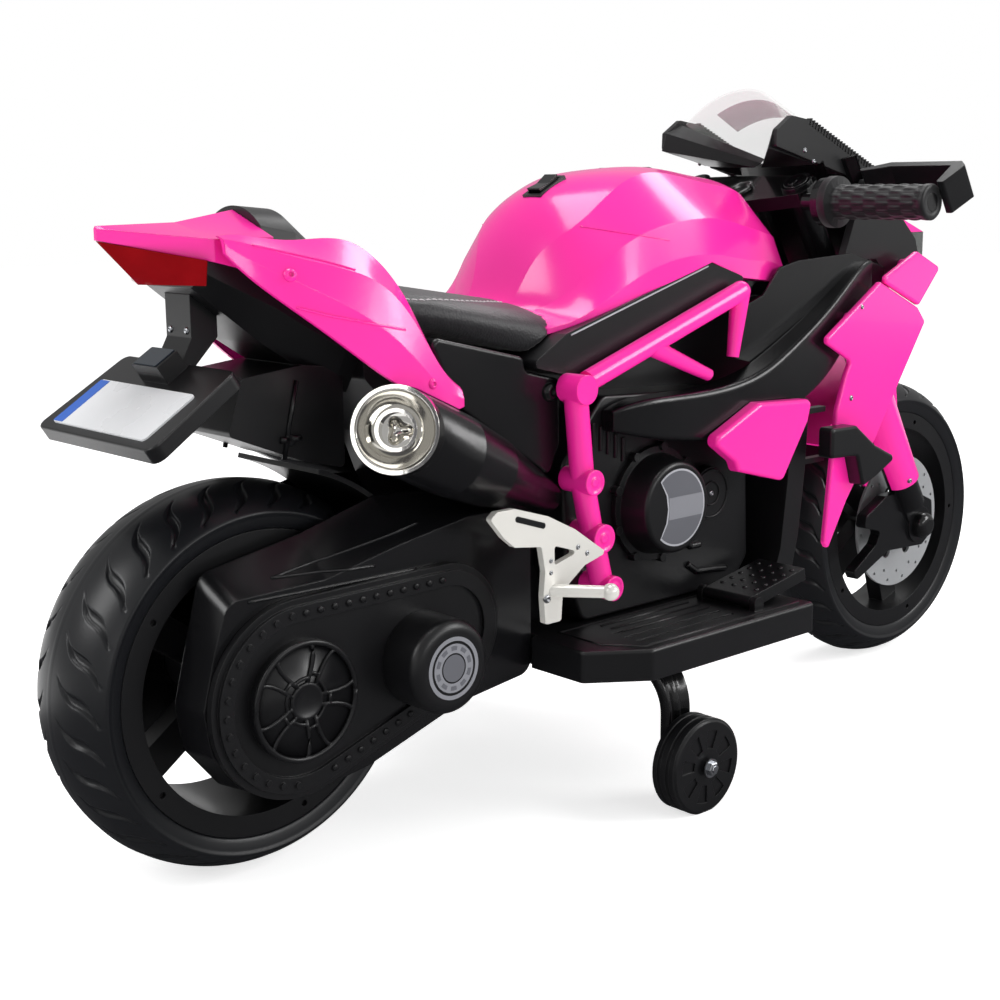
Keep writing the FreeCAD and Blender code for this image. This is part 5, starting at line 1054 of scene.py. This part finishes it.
@dataclass
class Trellis:
    """Rings on the round covers and the frame posts, and painted shade in the shape of slots on the footrest hangers,
    sizes in millimetres.
    """

    round_cover: tuple[float, float, float] = (25.0, 243.0, 104.3)
    ring_radii: tuple[float, ...] = (21.5, 10.5)
    ring_out: float = 0.2
    ring_thick: float = 0.9
    hanger: tuple[float, float, float] = (-209.0, 258.0, 133.9)
    slot_corners: int = 16
    slot_turn: float = -108.7
    slot_radius: float = 2.4
    slot_ends: Pairs = ((0.0, -4.6), (-27.0, 4.4))
    slot_height: float = 0.4
    bosses: tuple[tuple[float, float, float], ...] = (
        (-145.0, 278.0, 10.5), (-134.0, 230.0, 12.0), (-122.0, 186.0, 10.5))
    boss_level: float = 127.0
    boss: Pairs = ((1.0, -1.0), (1.0, 0.9), (0.94, 1.3), (0.80, 1.3), (0.72, 0.3), (0.34, 0.2), (0.32, 0.9),
                   (0.22, 1.1), (0.10, 0.5))

    def cover_rings(self) -> None:
        """Thin raised rings on the small round engine covers."""
        parcel = Parcel()
        for side in SIDES:
            for radius in self.ring_radii:
                Face(*self.round_cover, side).hoop(parcel, radius, self.ring_out, self.ring_thick)
        parcel.piece("cover_rings", BLACK_PP)

    def hanger_slot_shades(self) -> None:
        """Painted shade on the upper blades of the footrest hangers: thin black patches shaped as open slots."""
        parcel, slot = Parcel(), []
        for step in range(self.slot_corners):
            angle = math.radians(self.slot_turn + 360 * (step + 0.5) / self.slot_corners)
            u, v = self.slot_ends[step * 2 // self.slot_corners]
            slot.append((u + self.slot_radius * math.cos(angle), v + self.slot_radius * math.sin(angle)))
        for side in SIDES:
            # Black patch laid on the blade: painted shade standing for an open slot.
            parcel.slab(slot, Face(*self.hanger, side).place, self.slot_height)
        parcel.piece("hanger_slot_shades", BLACK_PP, smooth=False)

    def post_rings(self) -> None:
        """Raised ring and middle stud on the bosses of the frame posts."""
        parcel = Parcel()
        for side in SIDES:
            for x, z, radius in self.bosses:
                parcel.turned([(u * radius, v) for u, v in self.boss], spot_mm(x, side * self.boss_level, z),
                              outward(side), 32)
        parcel.piece("post_rings", PINK_ABS)

    def build(self) -> None:
        """Make rings and the painted slot shade."""
        self.cover_rings()
        self.hanger_slot_shades()
        self.post_rings()


@dataclass
class Cockpit:
    """Fins beside the screen and dials on the fork, sizes in millimetres."""

    fin_count: int = 24
    fin_level: float = 70.6
    fin_half: float = 0.6
    comb_start: tuple[float, float] = (199.0, 569.2)
    comb_run: tuple[float, float] = (100.0, -43.0)
    fin_ahead: tuple[float, float, float] = (0.917, 0.0, -0.399)
    fin_rise: tuple[float, float, float] = (0.399, 0.0, 0.917)
    fin_section: Pairs = ((-5.0, -3.0), (-5.0, 3.4), (1.2, 3.4), (1.2, -3.0))
    fork_x: float = 10.0
    fork_half: float = 62.0
    fork_top: float = 11.0
    dial: Pairs = ((12.0, -0.5), (12.0, 0.3), (11.2, 0.7), (9.4, 0.7), (9.0, 0.1), (7.0, 0.1), (6.6, 0.4),
                   (6.0, 0.5), (1.0, 0.5))
    blade: Pairs = ((-6.5, -1.2), (6.5, -1.2), (6.5, 1.2), (-6.5, 1.2))
    blade_heights: tuple[float, float] = (0.3, 0.8)
    nut_top: float = 7.0
    nut: Pairs = ((15.0, -0.5), (15.0, 3.0), (13.5, 4.2), (8.0, 4.2), (7.5, 3.0), (0.5, 3.0))

    def fins(self) -> None:
        """Comb of fins along the outer edge of both screen brackets."""
        parcel = Parcel()
        ahead, rise = Vector(self.fin_ahead), Vector(self.fin_rise)
        (x, z), (run_x, run_z) = self.comb_start, self.comb_run
        for side in SIDES:
            for index in range(self.fin_count):
                share = index / (self.fin_count - 1)
                foot = Vector((x + run_x * share, 0, z + run_z * share))
                points = []
                for along in (-self.fin_half, self.fin_half):
                    for out, up in self.fin_section:
                        at = foot + ahead * along + rise * up
                        points.append(spot_mm(at.x, side * (self.fin_level + out), at.z))
                parcel.tube(points, len(self.fin_section))
        parcel.piece("screen_fins", BLACK_PP, smooth=False)

    def dials(self) -> None:
        """Stepped dials on the fork caps and the nut of the steering stem."""
        parcel = Parcel()
        axis = (steered(0, 0, 1 / MM) - HEAD).normalized()
        for side in SIDES:
            y = side * self.fork_half
            parcel.turned(self.dial, steered(self.fork_x, y, self.fork_top), axis, 40)
            parcel.tube([steered(self.fork_x + u, y + v, self.fork_top + height) for height in self.blade_heights
                         for u, v in self.blade], len(self.blade))
        parcel.turned(self.nut, steered(0, 0, self.nut_top), axis, 6)
        parcel.piece("fork_dials", SMOOTH_PP, Body.STEERING)

    def build(self) -> None:
        """Make fins and dials."""
        self.fins()
        self.dials()


@dataclass
class Tail:
    """Glass of the plate lamp, insides of the exhaust outlets and the strap of the box, sizes in millimetres."""

    glass: Pairs = ((-474.0, -15.0), (-458.0, -15.0), (-458.0, 15.0), (-474.0, 15.0))
    glass_heights: tuple[float, float] = (-0.5, 0.8)
    outlet: tuple[float, float, float] = (-341.0, 118.0, 342.0)
    outlet_depth: float = 17.0
    outlet_yaw: float = 40.0
    outlet_pitch: float = 12.0
    core: Pairs = ((12.0, -0.5), (11.0, 2.5), (7.5, 5.0), (4.5, 8.5), (2.6, 9.6), (0.4, 10.0))
    dish: Pairs = ((29.8, 0.0), (29.8, 14.5), (29.2, 12.5), (27.2, 8.8), (24.0, 5.6), (20.0, 2.9), (16.4, 1.2))
    strap: Pairs = ((-371.5, 374.0), (-378.0, 348.0), (-385.0, 316.0))
    strap_level: float = 40.6
    strap_radius: float = 2.0
    clip: Pairs = ((4.6, -1.0), (4.6, 1.4), (3.8, 1.9))
    clip_spot: tuple[float, float, float] = (-379.0, 40.0, 330.0)
    buckle: Pairs = ((9.0, 331.0), (2.0, 330.5))
    buckle_level: float = 41.0
    buckle_radius: float = 2.6

    def lamp_glass(self) -> None:
        """Glass of the lamp over the plate."""
        surface, parcel = cover("plate_holder"), Parcel()
        corners = [surface.hit(spot_mm(x, y, 600), -UP) for x, y in self.glass]
        parcel.tube([spot + normal * height * MM for height in self.glass_heights for spot, normal in corners],
                    len(corners))
        parcel.piece("lamp_glass", LAMP_GLASS, smooth=False)

    def exhaust_cores(self) -> None:
        """Dished inside and three-lobed core of both exhaust outlets."""
        parcel = Parcel()
        yaw, pitch = math.radians(self.outlet_yaw), math.radians(self.outlet_pitch)
        x, y, z = self.outlet
        for side in SIDES:
            out = Vector((-math.cos(pitch) * math.cos(yaw), side * math.cos(pitch) * math.sin(yaw), math.sin(pitch)))
            foot = spot_mm(x, side * y, z) - out * self.outlet_depth * MM
            parcel.turned(self.core, foot, out, 48, lambda angle: 0.82 + 0.18 * math.cos(3 * angle))
            parcel.turned(self.dish, foot, out, 64)
        parcel.piece("exhaust_cores", CHROME)

    def box_strap(self) -> None:
        """Strap round the box under the tail, with its clip."""
        parcel = Parcel()
        middle, level, height = self.clip_spot
        for side in SIDES:
            parcel.bar([spot_mm(x, side * self.strap_level, z) for x, z in self.strap], self.strap_radius)
            for sign in SIDES:
                ends = [spot_mm(middle + sign * u, side * self.buckle_level, z) for u, z in self.buckle]
                parcel.bar(ends, self.buckle_radius)
            parcel.turned(self.clip, spot_mm(middle, side * level, height), outward(side), 20)
        parcel.piece("box_strap", SMOOTH_PP)

    def build(self) -> None:
        """Make glass, outlets and strap."""
        self.lamp_glass()
        self.exhaust_cores()
        self.box_strap()


@dataclass
class Footboards:
    """Ribs on both boards and studs on the pedal, sizes in millimetres."""

    level: float = 150.1
    rib: float = 1.1
    ribs: tuple[Pairs, ...] = (((60, 177), (-138, 177), (-160, 150), (-160, 100), (60, 100)),
                               *(((-120, y), (-10, y)) for y in (110, 122, 134)))
    pedal: tuple[float, float, float] = (13.0, 119.0, 156.1)
    pedal_tilt: float = 10.1
    pedal_thick: float = 5.5
    dot: Pairs = ((2.4, -0.5), (2.3, 0.6), (1.2, 1.2))
    dot_start: float = 14.0
    dot_pitch: tuple[float, float] = (12.5, 12.7)
    dot_rows: int = 5
    dot_columns: int = 4

    def pedal_dots(self) -> None:
        """Rows of studs on the pedal."""
        parcel = Parcel()
        tilt = math.radians(self.pedal_tilt)
        up, ahead = Vector((-math.sin(tilt), 0, math.cos(tilt))), Vector((math.cos(tilt), 0, math.sin(tilt)))
        (x, y, z), (along, across) = self.pedal, self.dot_pitch
        for row in range(self.dot_rows):
            for column in range(self.dot_columns):
                foot = spot_mm(x, -(y + column * across), z)
                at = foot + ahead * (self.dot_start + row * along) * MM + up * self.pedal_thick * MM
                parcel.turned(self.dot, at, up, 14)
        parcel.piece("pedal_dots", BLACK_PP, Body.PEDAL)

    def board_ribs(self) -> None:
        """Raised outline and long ribs on both boards."""
        parcel = Parcel()
        for side in SIDES:
            for line in self.ribs:
                parcel.bar([spot_mm(x, side * y, self.level) for x, y in line], self.rib)
        parcel.piece("board_ribs", BLACK_PP)

    def build(self) -> None:
        """Make studs and ribs."""
        self.pedal_dots()
        self.board_ribs()


@dataclass
class InnerCowl:
    """Black panels inside the fairing, beside and ahead of the fork, sizes in millimetres."""

    level: float = 96.0
    thick: float = 2.4
    side_outline: Pairs = (
        (62.0, 360.0), (62.0, 402.0), (100.0, 414.0), (112.0, 426.0), (124.0, 438.0), (150.0, 443.0), (232.0, 447.0),
        (284.0, 432.0), (292.0, 384.0), (225.0, 352.0), (165.0, 344.0), (112.0, 348.0))
    ahead: float = 62.0
    half: float = 83.0
    bulge: float = 14.0
    across: tuple[float, ...] = (-1, -0.9, -0.75, -0.5, 0, 0.5, 0.75, 0.9, 1)
    heights: tuple[float, ...] = (-140.0, -136.0, -6.0, -2.0)

    def build(self) -> None:
        """Make the side panels and the liner ahead of the fork."""
        parcel = Parcel()
        for side in SIDES:
            parcel.slab(self.side_outline, Face(0, 0, self.level, side).place, self.thick)
        rows = [(0.0, height) for height in self.heights] + [(self.thick, height) for height in self.heights[::-1]]
        points = [steered(self.ahead + layer + self.bulge * w ** 4, w * self.half, height)
                  for layer, height in rows for w in self.across]
        parcel.add(points, grid_faces(len(rows), len(self.across), closed=False, looped=True))
        parcel.piece("inner_cowl", SMOOTH_PP, smooth=False)


@dataclass
class Stabilisers:
    """Ribbed flat bars, nuts and wheel bands of the stabilisers, sizes in millimetres."""

    x: float = -85.0
    level: float = 164.0
    axle: float = -84.0
    hub: float = 40.0
    bend_start: float = 80.0
    bend: float = 45.0
    bend_angle: float = 76.0
    bend_steps: int = 16
    half: float = 14.0
    flare: float = 5.0
    section: Pairs = (
        (-1.0, -5.0), (1.0, -5.0), (1.0, 2.0), (0.9, 4.0), (0.68, 4.0), (0.55, 2.2), (0.25, 1.6), (0.1, 3.6),
        (-0.12, 3.6), (-0.27, 1.6), (-0.55, 2.2), (-0.68, 4.0), (-0.9, 4.0), (-1.0, 2.0))
    foot: Pairs = ((23.0, 0.45), (26.0, 0.75), (34.0, 1.0), (54.0, 1.0), (72.0, 1.0))
    bolt: Pairs = ((9.0, -9.0), (9.0, -6.0), (5.0, -6.0), (5.0, 38.4))
    nut_level: float = 202.0
    washer: Pairs = ((8.0, -0.6), (8.0, 0.6))
    nut: Pairs = ((6.0, 0.4), (6.0, 3.2), (5.0, 4.0), (3.2, 4.0), (3.0, 5.0), (0.3, 5.2))
    bands: Pairs = ((173.4, 179.2), (181.6, 188.4), (190.8, 196.6))
    band_foot: float = 39.4
    band_top: float = 40.9

    def nuts(self) -> None:
        """Hexagon nuts and washers on the stabiliser bolts."""
        parcel = Parcel()
        for side in SIDES:
            spot = spot_mm(self.axle, side * self.nut_level, self.hub)
            parcel.turned(self.washer, spot, outward(side), 32)
            parcel.turned(self.nut, spot, outward(side), 6)
        parcel.piece("stabiliser_nuts", ZINC, smooth=False)

    def treads(self) -> None:
        """Raised bands round the stabiliser wheels."""
        for side, body in zip(SIDES, (Body.RIGHT_STABILISER, Body.LEFT_STABILISER)):
            parcel = Parcel()
            for start, end in self.bands:
                foot, top, wide = self.band_foot, self.band_top, end - start
                band = ((foot, 0.0), (top, 0.5), (top, wide - 0.5), (foot, wide))
                parcel.turned(band, spot_mm(self.axle, side * start, self.hub), outward(side), 64)
            parcel.piece(f"{body.value}_treads", BLACK_PP, body, smooth=False)

    def straps(self) -> None:
        """Bent flat bars with two ribs, and their bolts, in place of the plain CAD arms."""
        parcel = Parcel()
        rows = [(self.level, z, 0.0, wide) for z, wide in self.foot]
        for step in range(self.bend_steps + 1):
            share = step / self.bend_steps
            angle = math.radians(self.bend_angle * share)
            rows.append((self.level - self.bend * (1 - math.cos(angle)), self.bend_start + self.bend * math.sin(angle),
                         angle, 1 + self.flare / self.half * share ** 2))
        for side in SIDES:
            points = [spot_mm(self.x + u * self.half * wide, side * (y + out * math.cos(angle)),
                              z + out * math.sin(angle))
                      for y, z, angle, wide in rows for u, out in self.section]
            parcel.tube(points, len(self.section))
            parcel.turned(self.bolt, spot_mm(self.axle, side * self.level, self.hub), outward(side), 24)
        made = parcel.piece("stabiliser_straps", POWDER_COAT)
        made.modifiers.new("edges", "EDGE_SPLIT").split_angle = math.radians(50)
        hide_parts("stabiliser_arms")

    def build(self) -> None:
        """Make nuts, bands and straps."""
        self.nuts()
        self.treads()
        self.straps()


@dataclass(frozen=True)
class SoftBox:
    """One soft lamp: its place, the point it faces and its two sides in metres, and its watts."""

    name: str
    spot: tuple[float, float, float]
    aim: tuple[float, float, float]
    size: tuple[float, float]
    power: float


@dataclass
class Studio:
    """Floor, light and the camera at the photograph's place, sizes in metres."""

    lens: float = 57.526
    sensor: float = 36.0
    place: tuple[float, float, float] = (-1.04712, -1.01941, 0.51618)
    azimuth: float = -41.855
    elevation: float = 11.226
    roll: float = -0.619
    sky: float = 0.42
    floor: float = 18.0
    outlet: tuple[float, float, float] = (-0.341, -0.118, 0.342)
    lamps: tuple[SoftBox, ...] = (
        SoftBox("top_box", (-0.2, 0.2, 2.1), (0, 0, 0.3), (1.3, 0.8), 17),
        SoftBox("ahead_box", (1.4, 0.4, 1.95), (0, 0, 0.35), (1.2, 0.6), 13),
        SoftBox("rear_box", (-2.3, 0.5, 1.7), (0, 0, 0.3), (0.9, 1.2), 18),
        SoftBox("front_box", (1.5, -1.7, 1.5), (0.1, 0, 0.3), (0.9, 1.1), 24),
        SoftBox("side_strip", (0.5, -2.4, 1.15), (0, 0, 0.35), (2.4, 0.3), 13),
    )

    def camera(self) -> None:
        """Set the camera."""
        a, e, r = (math.radians(v) for v in (self.azimuth, self.elevation, self.roll))
        back = Vector((math.sin(a) * math.cos(e), -math.cos(a) * math.cos(e), math.sin(e)))
        right = (-back).cross(UP).normalized()
        top = right.cross(-back)
        right, top = math.cos(r) * right + math.sin(r) * top, -math.sin(r) * right + math.cos(r) * top
        data = bpy.data.cameras.new("camera")
        data.lens, data.sensor_width = self.lens, self.sensor
        made = bpy.data.objects.new("camera", data)
        turn = Matrix((right, top, back)).transposed().to_4x4()
        made.matrix_world = Matrix.Translation(self.place) @ turn
        bpy.context.scene.collection.objects.link(made)
        bpy.context.scene.camera = made

    def lamp(self, box: SoftBox) -> None:
        """Add one soft box."""
        data = bpy.data.lights.new(box.name, "AREA")
        data.shape, data.size, data.size_y, data.energy = "RECTANGLE", *box.size, box.power
        made = bpy.data.objects.new(box.name, data)
        made.location = box.spot
        made.rotation_euler = (Vector(box.aim) - Vector(box.spot)).to_track_quat("-Z", "Y").to_euler()
        bpy.context.scene.collection.objects.link(made)

    def sheet(self, name: str, spot: Sequence[float], aim: Sequence[float], size: Sequence[float],
              finish: Finish) -> bpy.types.Object:
        """Add a flat sheet to the studio.

        Args:
            name: Name of the sheet.
            spot: Its middle.
            aim: Point it faces.
            size: Its two sides.
            finish: Its material.

        Returns:
            The new object.
        """
        turn = (Vector(aim) - Vector(spot)).to_track_quat("Z", "Y").to_matrix()
        verts = [Vector(spot) + turn @ Vector((u * size[0] / 2, v * size[1] / 2, 0))
                 for u, v in ((-1, -1), (1, -1), (1, 1), (-1, 1))]
        mesh = bpy.data.meshes.new(name)
        mesh.from_pydata(verts, [], [(0, 1, 2, 3)])
        mesh.materials.append(finish.material())
        made = bpy.data.objects.new(name, mesh)
        bpy.context.scene.collection.objects.link(made)
        return made

    def build(self) -> None:
        """Make camera, sky, floor, lamps and the cards that only glossy faces show."""
        self.camera()
        bpy.context.scene.view_settings.view_transform = "Standard"
        world = bpy.data.worlds.new("studio")
        world.use_nodes = True
        tree = world.node_tree
        seen = add_node(tree, "ShaderNodeLightPath").outputs["Is Camera Ray"]
        level = add_node(tree, "ShaderNodeMapRange", {3: self.sky, 4: 1.0}, {0: seen})
        tree.links.new(level.outputs[0], tree.nodes["Background"].inputs["Strength"])
        tree.nodes["Background"].inputs["Color"].default_value = linear("#FFFFFF")
        bpy.context.scene.world = world
        self.sheet("floor", (0, 0, 0), UP, (self.floor, self.floor), FLOOR_PAPER)
        for box in self.lamps:
            self.lamp(box)
        for name, spot, aim, size, finish in (
                ("floor_flag", (0.8, -3.0, 0.0005), (0.8, -3.0, 1.0), (7.0, 7.0), FLAG_CARD),
                ("outlet_flag", (-1.90, -1.16, 0.85), self.outlet, (0.36, 0.6), FLAG_CARD),
                ("outlet_card", (-2.16, -0.92, 0.85), self.outlet, (0.36, 0.6), PALE_CARD)):
            card = self.sheet(name, spot, aim, size, finish)
            card.visible_camera = card.visible_diffuse = card.visible_shadow = False


SLOT_FINISHES: dict[str, Finish] = {
    "pink_plastic": PINK_ABS,
    "black_plastic": BLACK_PP,
    "gloss_black_plastic": SMOOTH_PP,
    "black_steel": POWDER_COAT,
    "bare_steel": ZINC,
    "battery_case": PLAIN_CASE,
    "grey_plastic": PLAIN_CASE,
    "seat_vinyl": SEAT_VINYL,
    "red_lens": RED_LENS,
    "plate_white": WHITE_PLATE,
    "chrome_plate": CHROME,
    "smoke_lens": SMOKE_LENS,
    "clear_screen": CLEAR_SHEET,
    "grip_rubber": GRIP_PVC,
    "tyre": TYRE_SKIN,
    "disc_grey": SILVER_LACQUER,
}
# Nodes whose surface differs from others of their slot.
NODE_FINISHES: dict[str, Finish] = {"footrest_hangers": SATIN_CHROME}


def dress_nodes() -> None:
    """Give every CAD node its own finish, or else the finish of its slot."""
    for row in frame["record"]["subparts"]:
        node = frame["nodes"][row["node"]]
        finish = NODE_FINISHES.get(row["node"], SLOT_FINISHES[row["material_slot"]])
        node.data.materials.clear()
        node.data.materials.append(finish.material())
        LOG.info("%s dressed as %s", row["node"], finish.name)


def main() -> None:
    """Build the scene in order."""
    logging.basicConfig(level=logging.INFO, format="%(message)s")
    Studio().build()
    dress_nodes()
    Tyre("rear_tyre", Body.REAR_WHEEL, -415.0, 50.0, 131.0).build()
    Tyre("front_tyre", Body.FRONT_WHEEL, 415.0, 37.0, 132.0).build()
    for assembly in (Cushion(), Grips(), Decals(), Screws(), *RIDGES, ChainCovers(), Trellis(), Cockpit(), Tail(),
                     Footboards(), InnerCowl(), Stabilisers()):
        assembly.build()


if __name__ == "__main__":
    main()
